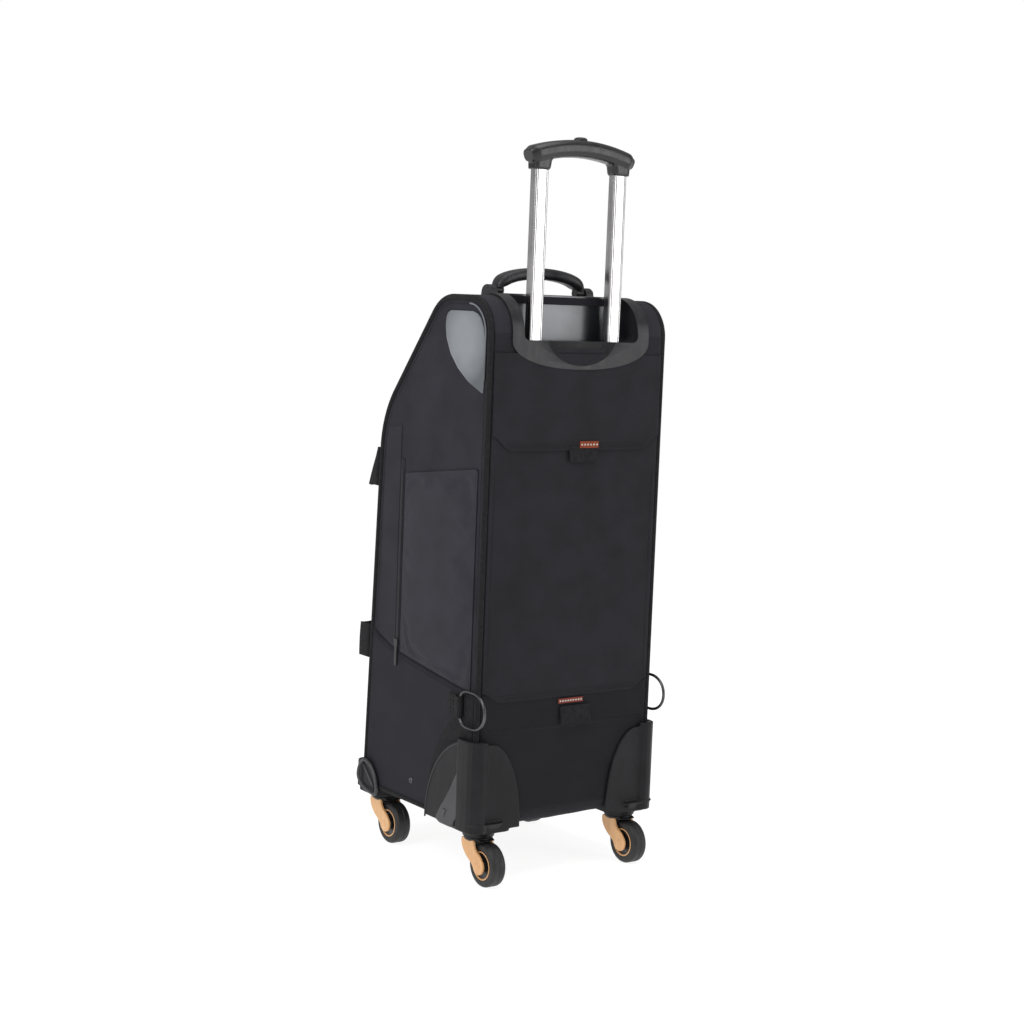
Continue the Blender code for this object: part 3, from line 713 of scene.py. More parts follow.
def outline_solid(
    name: str,
    outline: Sequence[Flat],
    place: Callable[[float, float, float], Point],
    low: float,
    high: float,
    finish: Finish,
    round_over: float = 0.0,
    segments: int = 3,
) -> Piece:
    """A flat outline made solid, with its rims rounded.

    Args:
        name: the piece's name.
        outline: the outline's points.
        place: turns (a, b, height) into a point.
        low: one face's height.
        high: the other face's height.
        finish: its material.
        round_over: radius of the rim's rounding.
        segments: facets of the rounding.

    Returns:
        The piece.
    """
    count = len(outline)
    points = [place(a, b, low) for a, b in outline] + [place(a, b, high) for a, b in outline]
    faces = [tuple(range(count)), tuple(range(2 * count - 1, count - 1, -1))]
    faces += [(i, (i + 1) % count, count + (i + 1) % count, count + i) for i in range(count)]
    piece = surface(name, points, faces, finish, sharp=30.0)
    if round_over:
        edge = piece.modifiers.new("rim", "BEVEL")
        edge.width = round_over
        edge.segments = segments
        edge.limit_method = "ANGLE"
        edge.angle_limit = math.radians(50)
        edge.harden_normals = True
    return piece


def round_outline(radius: float, steps: int = 12) -> Outline:
    """A circle of points."""
    return [(radius * math.cos(2 * math.pi * k / steps), radius * math.sin(2 * math.pi * k / steps)) for k in range(steps)]


def soft_rectangle(width: float, height: float, radius: float, steps: int = 5, centre: tuple[float, float] = (0.0, 0.0)) -> Outline:
    """A rectangle of points with round corners."""
    points = []
    for quarter, (sx, sy) in enumerate(((1, 1), (-1, 1), (-1, -1), (1, -1))):
        for k in range(steps + 1):
            turn = math.pi / 2 * (quarter + k / steps)
            points.append(
                (
                    centre[0] + sx * (width / 2 - radius) + radius * math.cos(turn),
                    centre[1] + sy * (height / 2 - radius) + radius * math.sin(turn),
                )
            )
    return points


def joined(name: str, pieces: Sequence[Piece]) -> Piece:
    """One piece from several, their modifiers made real and their finishes kept.

    Args:
        name: the new piece's name.
        pieces: what goes into it.

    Returns:
        The joined piece.
    """
    graph = bpy.context.evaluated_depsgraph_get()
    bm, finishes = bmesh.new(), []
    for piece in pieces:
        mesh = bpy.data.meshes.new_from_object(piece.evaluated_get(graph))
        start = len(bm.faces)
        bm.from_mesh(mesh)
        bm.faces.ensure_lookup_table()
        slots = [m for m in mesh.materials]
        for m in slots:
            if m not in finishes:
                finishes.append(m)
        for face in bm.faces[start:]:
            face.material_index = finishes.index(slots[face.material_index]) if slots else 0
    mesh = bpy.data.meshes.new(name)
    bm.to_mesh(mesh)
    bm.free()
    for finish in finishes:
        mesh.materials.append(finish)
    for piece in pieces:
        bpy.data.objects.remove(piece, do_unlink=True)
    whole = bpy.data.objects.new(name, mesh)
    bpy.context.scene.collection.objects.link(whole)
    return whole


def carved(piece: Piece, other: Piece, operation: str = "DIFFERENCE") -> Piece:
    """A piece cut by, joined with or kept inside another closed piece, which is used up."""
    step = piece.modifiers.new("carve", "BOOLEAN")
    step.object, step.operation, step.solver = other, operation, "EXACT"
    graph = bpy.context.evaluated_depsgraph_get()
    mesh = bpy.data.meshes.new_from_object(piece.evaluated_get(graph))
    piece.modifiers.clear()
    piece.data = mesh
    bpy.data.objects.remove(other, do_unlink=True)
    return piece


def melted(name: str, pieces: Sequence[Piece], finish: Finish, voxel: float = 0.001, relax: int = 4) -> Piece:
    """Overlapping closed pieces melted into one moulding with soft corners.

    Args:
        name: the new piece's name.
        pieces: what goes into it.
        finish: its material.
        voxel: the size of the melt's cells.
        relax: rounds of smoothing.

    Returns:
        The moulding.
    """
    whole = joined(name, pieces)
    melt = whole.modifiers.new("melt", "REMESH")
    melt.mode, melt.voxel_size = "VOXEL", voxel
    soft = whole.modifiers.new("soft", "SMOOTH")
    soft.factor, soft.iterations = 0.5, relax
    graph = bpy.context.evaluated_depsgraph_get()
    mesh = bpy.data.meshes.new_from_object(whole.evaluated_get(graph))
    bpy.data.objects.remove(whole, do_unlink=True)
    mesh.name = name
    mesh.shade_smooth()
    return add_piece(name, mesh, finish)


def mirrored(name: str, piece: Piece) -> Piece:
    """The same piece on the other side of the bag, its modifiers kept."""
    twin = piece.copy()
    twin.data = piece.data.copy()
    twin.name = name
    twin.data.name = name
    bpy.context.scene.collection.objects.link(twin)
    twin.data.transform(Matrix.Scale(-1, 4, (1, 0, 0)))
    twin.data.flip_normals()
    return twin


def refined_copy(name: str, node: str, finish: Finish, rim: float, angle: float = 35.0) -> Piece:
    """A CAD node's shape with its flat facets merged and its edges rounded.

    Args:
        name: the piece's name.
        node: the CAD node it is taken from.
        finish: its material.
        rim: width of the rounding.
        angle: edges sharper than this, in degrees, are rounded.

    Returns:
        The piece.
    """
    mesh = frame["nodes"][node].data.copy()
    bm = bmesh.new()
    bm.from_mesh(mesh)
    bmesh.ops.remove_doubles(bm, verts=bm.verts, dist=0.00001)
    bmesh.ops.dissolve_limit(bm, angle_limit=math.radians(1.0), verts=bm.verts, edges=bm.edges)
    bmesh.ops.recalc_face_normals(bm, faces=bm.faces)
    bm.to_mesh(mesh)
    bm.free()
    mesh.shade_smooth()
    mesh.set_sharp_from_angle(angle=math.radians(angle))
    piece = add_piece(name, mesh, finish)
    if rim:
        edge = piece.modifiers.new("rim", "BEVEL")
        edge.width = rim
        edge.segments = 3
        edge.limit_method = "ANGLE"
        edge.angle_limit = math.radians(angle)
        edge.harden_normals = True
    return piece


def cut_from(piece: Piece, width: float, length: float, held: str, rests_on: str) -> Piece:
    """Notes that a piece is a sheet, the flat size it was cut to, how it is held and on what."""
    piece["flat"], piece["held"], piece["rests_on"] = (width, length), held, rests_on
    return piece


def settle(piece: Piece, body: str, slot: str, *nodes: str) -> Piece:
    """Rides a finished piece on its body and hides the CAD nodes that it replaces.

    Args:
        piece: the piece.
        body: the CAD body that it moves with.
        slot: the record's material slot; not used.
        nodes: CAD nodes that it replaces.

    Returns:
        The piece.
    """
    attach(piece, body)
    if nodes:
        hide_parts(*nodes)
    "fill" in piece
    if "flat" in piece:
        tuple(piece["flat"])
    LOG.info("%s rides on %s", piece.name, body)
    return piece


# ---------------------------------------------------------------- repeated pieces
class RunShape(Enum):
    """What a sewn run repeats."""

    STITCH = "GeometryNodeMeshIcoSphere"
    TOOTH = "GeometryNodeMeshCube"


Line = tuple[list[Vector], list[Vector]]


@dataclass
class SewnRun:
    """Small equal pieces along lines on the cloth, such as stitches or zip teeth, laid by Geometry Nodes."""

    label: str
    shape: RunShape
    pitch: float
    length: float
    width: float
    height: float

    def tree(self) -> tuple[bpy.types.NodeTree, dict[str, str]]:
        """Builds the node tree.

        Returns:
            The tree, and the identifier of each named input.
        """
        tree = bpy.data.node_groups.new(self.label, "GeometryNodeTree")
        tree.interface.new_socket("Lines", in_out="INPUT", socket_type="NodeSocketGeometry")
        keys = {}
        for name in ("Pitch", "Length", "Width", "Height"):
            keys[name] = tree.interface.new_socket(name, in_out="INPUT", socket_type="NodeSocketFloat").identifier
        keys["Finish"] = tree.interface.new_socket("Finish", in_out="INPUT", socket_type="NodeSocketMaterial").identifier
        tree.interface.new_socket("Pieces", in_out="OUTPUT", socket_type="NodeSocketGeometry")
        new, link = tree.nodes.new, tree.links.new
        source, result = new("NodeGroupInput"), new("NodeGroupOutput")
        curve, points = new("GeometryNodeMeshToCurve"), new("GeometryNodeResampleCurve")
        points.mode = "LENGTH"
        link(source.outputs["Lines"], curve.inputs[0])
        link(curve.outputs[0], points.inputs["Curve"])
        link(source.outputs["Pitch"], points.inputs["Length"])
        outward = new("GeometryNodeInputNamedAttribute")
        outward.data_type = "FLOAT_VECTOR"
        outward.inputs["Name"].default_value = "outward"
        along, upright = new("FunctionNodeAlignRotationToVector"), new("FunctionNodeAlignRotationToVector")
        along.axis, upright.axis, upright.pivot_axis = "X", "Z", "X"
        link(new("GeometryNodeInputTangent").outputs[0], along.inputs["Vector"])
        link(along.outputs[0], upright.inputs["Rotation"])
        link(outward.outputs["Attribute"], upright.inputs["Vector"])
        seed = new(self.shape.value)
        if self.shape is RunShape.STITCH:
            seed.inputs["Radius"].default_value = 0.5
            seed.inputs["Subdivisions"].default_value = 2
        size, laid = new("ShaderNodeCombineXYZ"), new("GeometryNodeInstanceOnPoints")
        for name, slot in (("Length", "X"), ("Width", "Y"), ("Height", "Z")):
            link(source.outputs[name], size.inputs[slot])
        link(points.outputs[0], laid.inputs["Points"])
        link(seed.outputs["Mesh"], laid.inputs["Instance"])
        link(upright.outputs[0], laid.inputs["Rotation"])
        link(size.outputs[0], laid.inputs["Scale"])
        real, dressed = new("GeometryNodeRealizeInstances"), new("GeometryNodeSetMaterial")
        link(laid.outputs[0], real.inputs[0])
        link(real.outputs[0], dressed.inputs["Geometry"])
        link(source.outputs["Finish"], dressed.inputs["Material"])
        link(dressed.outputs[0], result.inputs["Pieces"])
        return tree, keys

    def lay(self, name: str, lines: Sequence[Line], finish: Finish) -> Piece:
        """Lays the run along lines.

        Args:
            name: the new piece's name.
            lines: each line's points and the way the cloth faces at each.
            finish: the material.

        Returns:
            A plain mesh of all the pieces.
        """
        points, edges, faces_to = [], [], []
        for line, outwards in lines:
            start = len(points)
            points += [tuple(p) for p in line]
            faces_to += [tuple(n) for n in outwards]
            edges += [(start + i, start + i + 1) for i in range(len(line) - 1)]
        mesh = bpy.data.meshes.new(name + "_lines")
        mesh.from_pydata(points, edges, [])
        attribute = mesh.attributes.new("outward", "FLOAT_VECTOR", "POINT")
        attribute.data.foreach_set("vector", np.array(faces_to, dtype=np.float32).ravel())
        guide = add_piece(name + "_lines", mesh, None)
        tree, keys = self.tree()
        modifier = guide.modifiers.new("run", "NODES")
        modifier.node_group = tree
        for key, value in (("Pitch", self.pitch), ("Length", self.length), ("Width", self.width), ("Height", self.height)):
            modifier[keys[key]] = value
        modifier[keys["Finish"]] = finish
        graph = bpy.context.evaluated_depsgraph_get()
        made = bpy.data.meshes.new_from_object(guide.evaluated_get(graph))
        made.name = name
        made.shade_smooth()
        bpy.data.objects.remove(guide, do_unlink=True)
        piece = bpy.data.objects.new(name, made)
        bpy.context.scene.collection.objects.link(piece)
        if not made.materials:
            made.materials.append(finish)
        return piece


SEAM_STITCH = SewnRun("seam_stitch", RunShape.STITCH, 0.0045, 0.0034, 0.0009, 0.0008)
LABEL_STITCH = SewnRun("label_stitch", RunShape.STITCH, 0.0042, 0.003, 0.0028, 0.0006)
ZIP_TOOTH = SewnRun("zip_tooth", RunShape.TOOTH, 0.0022, 0.0012, 0.0028, 0.0014)


# ---------------------------------------------------------------- the bag's outline
@dataclass(frozen=True)
class SideProfile:
    """The bag's outline seen from the side: steep front, sloping upper front, flat top and upright back."""

    half_depth: float = 0.141
    bottom: float = 0.078
    top: float = 0.778
    front_break: tuple[float, float] = (-0.118, 0.609)
    top_front: tuple[float, float] = (0.0205, 0.778)
    foot_radius: float = 0.014
    break_radius: float = 0.14
    crown_radius: float = 0.06
    heel_radius: float = 0.05
    straight_step: float = 0.012

    @cached_property
    def run(self) -> list[tuple[Vector, Vector]]:
        """Points (y, z) and outward normals from the bottom's front end round to its back end."""
        corners = [
            (-self.half_depth, self.bottom, self.foot_radius, 8),
            (*self.front_break, self.break_radius, 16),
            (*self.top_front, self.crown_radius, 14),
            (self.half_depth, self.top, self.heel_radius, 18),
            (self.half_depth, self.bottom, self.foot_radius, 8),
        ]
        arcs = []
        for i, (y, z, radius, steps) in enumerate(corners):
            here = Vector((y, z))
            before = (Vector(corners[i - 1][:2]) - here).normalized()
            after = (Vector(corners[(i + 1) % len(corners)][:2]) - here).normalized()
            half = before.angle(after) / 2
            middle = here + (before + after).normalized() * (radius / math.sin(half))
            first = (here + before * (radius / math.tan(half)) - middle).normalized()
            last = (here + after * (radius / math.tan(half)) - middle).normalized()
            total = first.angle(last)
            arc = []
            for k in range(steps + 1):
                share = k / steps
                normal = (first * math.sin((1 - share) * total) + last * math.sin(share * total)) / math.sin(total)
                arc.append((middle + normal * radius, normal))
            arcs.append(arc)
        found = list(arcs[0])
        for arc in arcs[1:]:
            start, end = found[-1], arc[0]
            steps = max(1, round((end[0] - start[0]).length / self.straight_step))
            found += [(start[0].lerp(end[0], k / steps), start[1].lerp(end[1], k / steps).normalized()) for k in range(1, steps)]
            found += arc
        return found

    @cached_property
    def stations(self) -> list[float]:
        """The distance along the outline at each of its points."""
        total, found = 0.0, [0.0]
        for (a, _), (b, _) in zip(self.run, self.run[1:]):
            total += (b - a).length
            found.append(total)
        return found

    def at(self, station: float) -> tuple[Vector, Vector]:
        """The point and the outward normal at a distance along the outline."""
        i = min(max(int(np.searchsorted(self.stations, station)), 1), len(self.stations) - 1)
        share = (station - self.stations[i - 1]) / max(self.stations[i] - self.stations[i - 1], 1e-9)
        (a, na), (b, nb) = self.run[i - 1], self.run[i]
        return a.lerp(b, share), na.lerp(nb, share).normalized()

    def front_station(self, height: float) -> float:
        """The distance along the front and its slope at a height."""
        for i in range(1, len(self.run)):
            low, high = self.run[i - 1][0].y, self.run[i][0].y
            if low <= height <= high and high > low:
                return self.stations[i - 1] + (height - low) / (high - low) * (self.stations[i] - self.stations[i - 1])
        raise ValueError("no such height")

    def back_station(self, height: float) -> float:
        """The distance along the outline at a height on the back."""
        for i in range(len(self.run) - 1, 0, -1):
            low, high = self.run[i][0].y, self.run[i - 1][0].y
            if low <= height <= high and high > low:
                return self.stations[i] - (height - low) / (high - low) * (self.stations[i] - self.stations[i - 1])
        raise ValueError("no such height")

    @cached_property
    def heel_start(self) -> float:
        """Where the top meets the rear arc."""
        return next(s for s, (p, _) in zip(self.stations, self.run) if p.x >= self.half_depth - self.heel_radius - 1e-6 and p.y > 0.7)

    @cached_property
    def heel_end(self) -> float:
        """The lower end of the rear arc."""
        return self.back_station(self.top - self.heel_radius - 1e-6)

    @lru_cache(maxsize=32)
    def loop(self, inset: float) -> Outline:
        """The outline drawn inwards by an inset."""
        return [tuple(p - n * inset) for p, n in self.run]

    def span(self, height: float, inset: float) -> tuple[float, float]:
        """The front and back of the inset outline at a height."""
        loop, found = self.loop(inset), []
        for (ya, za), (yb, zb) in zip(loop, loop[1:] + loop[:1]):
            if (za - height) * (zb - height) <= 0 and za != zb:
                found.append(ya + (height - za) / (zb - za) * (yb - ya))
        return min(found), max(found)


PROFILE = SideProfile()
HALF_WIDTH = 0.146
PIPING_X = 0.142
GUSSET_HALF = 0.1375


def wrap_point(station: float, x: float, lift: float) -> Vector:
    """A point on the front, top or back.

    Args:
        station: distance along the outline.
        x: across the bag.
        lift: height above the outline.

    Returns:
        The point.
    """
    point, normal = PROFILE.at(station)
    return Vector((x, point.x + normal.x * lift, point.y + normal.y * lift))


def wrap_normal(station: float) -> Vector:
    """The way the front, top or back faces."""
    _, normal = PROFILE.at(station)
    return Vector((0.0, normal.x, normal.y))


def wrap_folds(station: float, x: float, depth: float = 0.0011) -> float:
    """How far the wrapped cloth stands above or below its outline."""
    quiet = ease((GUSSET_HALF - abs(x)) / 0.03)
    pad = 0.0012 * quiet
    return pad + depth * quiet * fold_noise(x, station, 2.0)


def side_folds(y: float, z: float) -> float:
    """How far a side stands out at a place, as X."""
    front, back = PROFILE.span(min(max(z, 0.0875), 0.7685), 0.008)
    u = min(max((y - front) / (back - front), 0.0), 1.0)
    v = min(max((z - 0.0865) / 0.683, 0.0), 1.0)
    pad = math.sin(math.pi * u) ** 0.6 * math.sin(math.pi * v) ** 0.5
    return 0.1428 + 0.0024 * pad + 0.0007 * pad * fold_noise(y, z, 5.0)


@dataclass
class WrapPatch:
    """A sheet of cloth on the front, top or back."""

    name: str
    low: Callable[[float], float]
    high: Callable[[float], float]
    xs: Sequence[float]
    rows: Sequence[float]
    lift: Callable[[float, float], float]
    thickness: float = 0.0014
    bevel: float = 0.0

    def build(self, finish: Finish, keep: Callable[[float, float], bool] | None = None) -> Piece:
        """Builds the sheet.

        Args:
            finish: its material.
            keep: tells whether a cell centred at (station, x) is kept.

        Returns:
            The piece.
        """
        grid = []
        for share in self.rows:
            row = []
            for x in self.xs:
                station = self.low(x) + share * (self.high(x) - self.low(x))
                row.append((station, x))
            grid.append(row)
        points = [[wrap_point(s, x, self.lift(s, x)) for s, x in row] for row in grid]

        def kept(r: int, c: int) -> bool:
            """Whether a cell is kept."""
            cell = [grid[r][c], grid[r + 1][c + 1]]
            return keep is None or keep((cell[0][0] + cell[1][0]) / 2, (cell[0][1] + cell[1][1]) / 2)

        middle = (self.low(0.0) + self.high(0.0)) / 2
        return sheet_grid(self.name, points, finish, wrap_normal(middle), self.thickness, kept, self.bevel)


def even(low: float, high: float, count: int) -> list[float]:
    """Evenly spaced numbers from low to high."""
    return [low + (high - low) * k / count for k in range(count + 1)]


def side_patch(
    name: str,
    edges: Callable[[float], tuple[float, float]],
    heights: Sequence[float],
    columns: int,
    layer: float,
    finish: Finish,
    thickness: float = 0.0012,
    tilt: Callable[[float, float], float] | None = None,
    bevel: float = 0.0,
) -> Piece:
    """A sheet of cloth on the left side.

    Args:
        name: the piece's name.
        edges: the sheet's front and back y for a row's share 0..1 of the heights.
        heights: the rows' heights.
        columns: cells across.
        layer: height above the side's own cloth.
        finish: its material.
        thickness: in metres, inwards.
        tilt: moves a point's height, given its y and height.
        bevel: width of the edge rounding.

    Returns:
        The piece.
    """
    rows = []
    for r, height in enumerate(heights):
        front, back = edges(height)
        row = []
        for c in range(columns + 1):
            y = front + (back - front) * c / columns
            z = height if tilt is None else tilt(y, height)
            row.append((side_folds(y, z) + layer, y, z))
        rows.append(row)
    return sheet_grid(name, rows, finish, (1, 0, 0), thickness, bevel=bevel)


def side_line(points: Sequence[Flat], layer: float, step: float = 0.004) -> Line:
    """A line on the left side through (y, z) points."""
    found, outwards = [], []
    for (ya, za), (yb, zb) in zip(points, points[1:]):
        steps = max(1, round(math.dist((ya, za), (yb, zb)) / step))
        for k in range(steps + (1 if (yb, zb) == tuple(points[-1]) else 0)):
            y, z = ya + (yb - ya) * k / steps, za + (zb - za) * k / steps
            found.append(Vector((side_folds(y, z) + layer, y, z)))
            outwards.append(Vector((1, 0, 0)))
    return found, outwards


def wrap_line(points: Sequence[Flat], layer: Callable[[float, float], float], step: float = 0.004) -> Line:
    """A line on the front, top or back through (station, x) points."""
    found, outwards = [], []
    for index, ((sa, xa), (sb, xb)) in enumerate(zip(points, points[1:])):
        steps = max(1, round(math.dist((sa, xa), (sb, xb)) / step))
        for k in range(steps + (1 if index == len(points) - 2 else 0)):
            s, x = sa + (sb - sa) * k / steps, xa + (xb - xa) * k / steps
            found.append(wrap_point(s, x, layer(s, x)))
            outwards.append(wrap_normal(s))
    return found, outwards


def inflate(piece: Piece, pressure: float, cap: float, held: Callable[[Vector], bool], growth: float = 0.02) -> None:
    """Swells a closed cloth piece by simulation and keeps the result.

    Args:
        piece: the closed piece, without modifiers.
        pressure: the air pressure in it.
        cap: the most that a point may move, in metres.
        held: tells which points stay where they are sewn.
        growth: how much larger the cloth is cut than its place, which makes it pucker.
    """
    mesh = piece.data
    start = np.empty(len(mesh.vertices) * 3)
    mesh.vertices.foreach_get("co", start)
    start = start.reshape(-1, 3)
    pins = piece.vertex_groups.new(name="sewn")
    pins.add([v.index for v in mesh.vertices if held(v.co)], 1.0, "REPLACE")
    cloth = piece.modifiers.new("cloth", "CLOTH")
    cloth.settings.vertex_group_mass = "sewn"
    cloth.settings.use_pressure = True
    cloth.settings.uniform_pressure_force = pressure
    cloth.settings.effector_weights.gravity = 0.0
    cloth.settings.shrink_min = -growth
    cloth.settings.quality = 6
    cloth.settings.mass = 0.15
    cloth.settings.air_damping = 4.0
    cloth.collision_settings.use_collision = False
    scene = bpy.context.scene
    for frame in range(1, 21):
        scene.frame_set(frame)
    graph = bpy.context.evaluated_depsgraph_get()
    swollen = piece.evaluated_get(graph).data
    end = np.empty(len(swollen.vertices) * 3)
    swollen.vertices.foreach_get("co", end)
    move = end.reshape(-1, 3) - start
    far = np.linalg.norm(move, axis=1, keepdims=True)
    move *= np.minimum(1.0, cap / np.maximum(far, 1e-9))
    piece.modifiers.remove(cloth)
    piece.vertex_groups.clear()
    mesh.vertices.foreach_set("co", (start + move).ravel())
    mesh.update()
    scene.frame_set(1)


def pouch(
    name: str,
    place: Callable[[float, float, float], Vector],
    cells: tuple[int, int],
    depth: Callable[[float, float], float],
    finish: Finish,
) -> Piece:
    """A closed pouch: a flat back and a crowned face on a grid of shares (u, v).

    Args:
        name: the piece's name.
        place: the point at (u, v) and a height above the cloth.
        cells: cells along u and v.
        depth: the face's height at (u, v).
        finish: its material.

    Returns:
        The piece.
    """
    columns, rows = cells
    points, cloth, faces = [], [], []
    for layer in (0, 1):
        for r in range(rows + 1):
            for c in range(columns + 1):
                u, v = c / columns, r / rows
                points.append(place(u, v, depth(u, v) if layer else 0.0))
    origin, right, up = place(0, 0, 0), place(1, 0, 0), place(0, 1, 0)
    wide, tall = (right - origin).length, (up - origin).length
    cloth = [(c / columns * wide, r / rows * tall) for _ in (0, 1) for r in range(rows + 1) for c in range(columns + 1)]
    width, size = columns + 1, (columns + 1) * (rows + 1)
    for r in range(rows):
        for c in range(columns):
            a = r * width + c
            faces.append((a, a + width, a + width + 1, a + 1))
            faces.append((size + a, size + a + 1, size + a + width + 1, size + a + width))
    rim = [c for c in range(columns)]
    rim += [r * width + columns for r in range(rows)]
    rim += [rows * width + c for c in range(columns, 0, -1)]
    rim += [r * width for r in range(rows, 0, -1)]
    for k, a in enumerate(rim):
        b = rim[(k + 1) % len(rim)]
        faces.append((a, b, size + b, size + a))
    return surface(name, points, faces, finish, cloth, sharp=60.0)


# ---------------------------------------------------------------- sides
SideSet = list[tuple[Piece, str, str, tuple[str, ...]]]


def settle_both(pieces: SideSet) -> None:
    """Settles each left piece and its mirror image on the right.

    Args:
        pieces: (piece, body, slot, replaced nodes) for the left; a body or node's word left becomes right.
    """
    for piece, body, slot, nodes in pieces:
        name = piece.name.replace("left", "right")
        twin = mirrored(name, piece)
        if "rests_on" in twin:
            twin["rests_on"] = twin["rests_on"].replace("left", "right")
        settle(piece, body, slot, *nodes)
        settle(twin, body.replace("left", "right"), slot, *(n.replace("left", "right") for n in nodes))


@dataclass
class SideCovers:
    """The two padded sides: cloth, base cover, accessory pocket with its zip, coated patch, seams and piping."""

    inset: float = 0.0062
    seam: tuple[tuple[float, float], ...] = ((-0.131, 0.3085), (-0.062, 0.285), (0.105, 0.261), (0.138, 0.258))
    pocket_front: float = -0.0495
    pocket_back: float = 0.1225
    zip_y: float = -0.058
    zip_low: float = 0.285
    zip_high: float = 0.552

    def seam_height(self, y: float) -> float:
        """The base cover's upper edge at y."""
        return float(np.interp(y, [p[0] for p in self.seam], [p[1] for p in self.seam]))

    def edges(self, height: float) -> tuple[float, float]:
        """The cloth's front and back y at a height."""
        return PROFILE.span(min(max(height, 0.0843), 0.7717), self.inset)

    def cloth(self, finishes: Finishes) -> SideSet:
        """The side's own cloth and the tougher cloth over its base."""
        heights = even(0.0843, 0.1, 8) + even(0.1, 0.7, 96)[1:] + even(0.7, 0.7717, 26)[1:]
        main = side_patch("side_cloth_left", self.edges, heights, 48, 0.0, finishes.of("body_cloth"), 0.004)
        main["fill"] = 0.3

        def slant(y: float, z: float) -> float:
            """Stretches the base cover up to the seam."""
            return 0.0843 + (z - 0.0843) * (self.seam_height(y) - 0.0843) / 0.2157

        lows = even(0.0843, 0.1, 8) + even(0.1, 0.3, 34)[1:]
        base = side_patch("side_base_cloth_left", self.edges, lows, 44, 0.0011, finishes.of("base_cloth"), 0.0016, slant)
        return [(main, "bag", "ballistic_fabric", ("side_panel_left",)), (base, "bag", "ballistic_fabric", ())]

    def coated_patch(self, finishes: Finishes) -> SideSet:
        """The pale coated patch at the top rear, with painted highlight and shade across it and a painted highlight
        cord along its edge.
        """
        left = ([0.652, 0.665, 0.682, 0.7, 0.72, 0.738, 0.748, 0.7535, 0.7565], [0.124, 0.093, 0.068, 0.0505, 0.039, 0.0355, 0.0365, 0.04, 0.047])
        right = ([0.652, 0.66, 0.715, 0.735, 0.748, 0.7535, 0.7565], [0.1262, 0.1275, 0.1275, 0.124, 0.116, 0.1085, 0.098])

        def edges(height: float) -> tuple[float, float]:
            """The patch's curved sides."""
            return float(np.interp(height, *left)), float(np.interp(height, *right))

        heights = even(0.652, 0.745, 34) + even(0.745, 0.7565, 10)[1:]
        patch = side_patch("coated_patch_left", edges, heights, 26, 0.0012, finishes.of("coated_patch"), 0.0016, bevel=0.0004)
        welt = [p for p in PROFILE.loop(0.0115) if p[1] > 0.664 and p[0] > 0.085]
        # A pale cord along the patch's rear and upper edge: a painted highlight line.
        rim = swept("coated_welt_left", [(0.145, y, z) for y, z in welt], lambda share: round_outline(0.0013, 8), (1, 0, 0), finishes.of("coated_patch"))
        return [(joined("coated_corner_left", [patch, rim]), "bag", "pocket_fabric", ())]

    def pocket(self, finishes: Finishes) -> SideSet:
        """The accessory pocket, padded, and its bound top edge."""

        def low(y: float) -> float:
            """The pocket's lower edge."""
            return self.seam_height(y) + 0.0015

        def high(y: float) -> float:
            """The pocket's upper edge."""
            return 0.53 + (y - self.pocket_front) / (self.pocket_back - self.pocket_front) * 0.021

        def place(u: float, v: float, lift: float) -> Vector:
            """A point of the pocket."""
            y = self.pocket_front + (self.pocket_back - self.pocket_front) * u
            z = low(y) + (high(y) - low(y)) * v
            return Vector((side_folds(y, z) + 0.0006 + lift, y, z))

        def depth(u: float, v: float) -> float:
            """The pocket's crown."""
            crown = math.sin(math.pi * min(max(u, 0.0), 1.0)) ** 0.4 * math.sin(math.pi * min(max(v, 0.0), 1.0)) ** 0.35
            return 0.0011 + 0.003 * crown

        piece = pouch("side_pocket_pouch_left", place, (46, 74), depth, finishes.of("pocket_cloth"))

        def held(point: Vector) -> bool:
            """Whether a point of the pocket is sewn down."""
            y, z = point.y, point.z
            near = min(y - self.pocket_front, self.pocket_back - y, z - low(y), high(y) - z) < 0.0045
            return near or point.x < side_folds(y, z) + 0.001

        inflate(piece, 2.2, 0.0045, held, 0.015)
        piece["fill"] = 0.4
        rim = [(self.pocket_front + 0.002, high(self.pocket_front)), (self.pocket_back - 0.002, high(self.pocket_back))]
        rows = []
        for share in even(-0.0025, 0.0025, 4):
            row = []
            for y in even(rim[0][0], rim[1][0], 40):
                z = high(y) + share
                row.append((side_folds(y, z) + 0.0018 + 0.0005 * (1 - (share / 0.0025) ** 2), y, z))
            rows.append(row)
        binding = sheet_grid("pocket_binding_left", rows, finishes.of("pocket_cloth"), (1, 0, 0), 0.0014)
        return [(piece, "bag", "pocket_fabric", ("side_pocket_left",)), (binding, "bag", "webbing", ())]

    def zip(self, finishes: Finishes) -> SideSet:
        """The pocket's upright zip: tape, two rows of teeth, and a slider with its pull."""
        rows = []
        for z in even(self.zip_low, self.zip_high, 70):
            rows.append([(side_folds(y, z) + 0.0007, y, z) for y in even(self.zip_y - 0.005, self.zip_y + 0.005, 6)])
        tape = sheet_grid("side_zip_tape_left", rows, finishes.of("base_cloth"), (1, 0, 0), 0.001)
        tracks = []
        for offset in (-0.0012, 0.0012):
            tracks.append(side_line([(self.zip_y + offset, self.zip_low + 0.001 + abs(offset) * 0.5), (self.zip_y + offset, 0.535)], 0.0009))
        teeth = ZIP_TOOTH.lay("side_zip_teeth_left", tracks, finishes.of("trim_plastic"))
        slider = refined_copy("side_slider_metal_left", "side_zip_slider_left", finishes.of("trim_plastic"), 0.0004)
        return [
            (tape, "bag", "webbing", ()),
            (self.band(finishes), "bag", "ballistic_fabric", ()),
            (teeth, "bag", "dark_metal", ()),
            (slider, "side_slider_left", "dark_metal", ("side_zip_slider_left",)),
        ]

    def band(self, finishes: Finishes) -> Piece:
        """The plain band in front of the zip, from the base cover to the slope."""

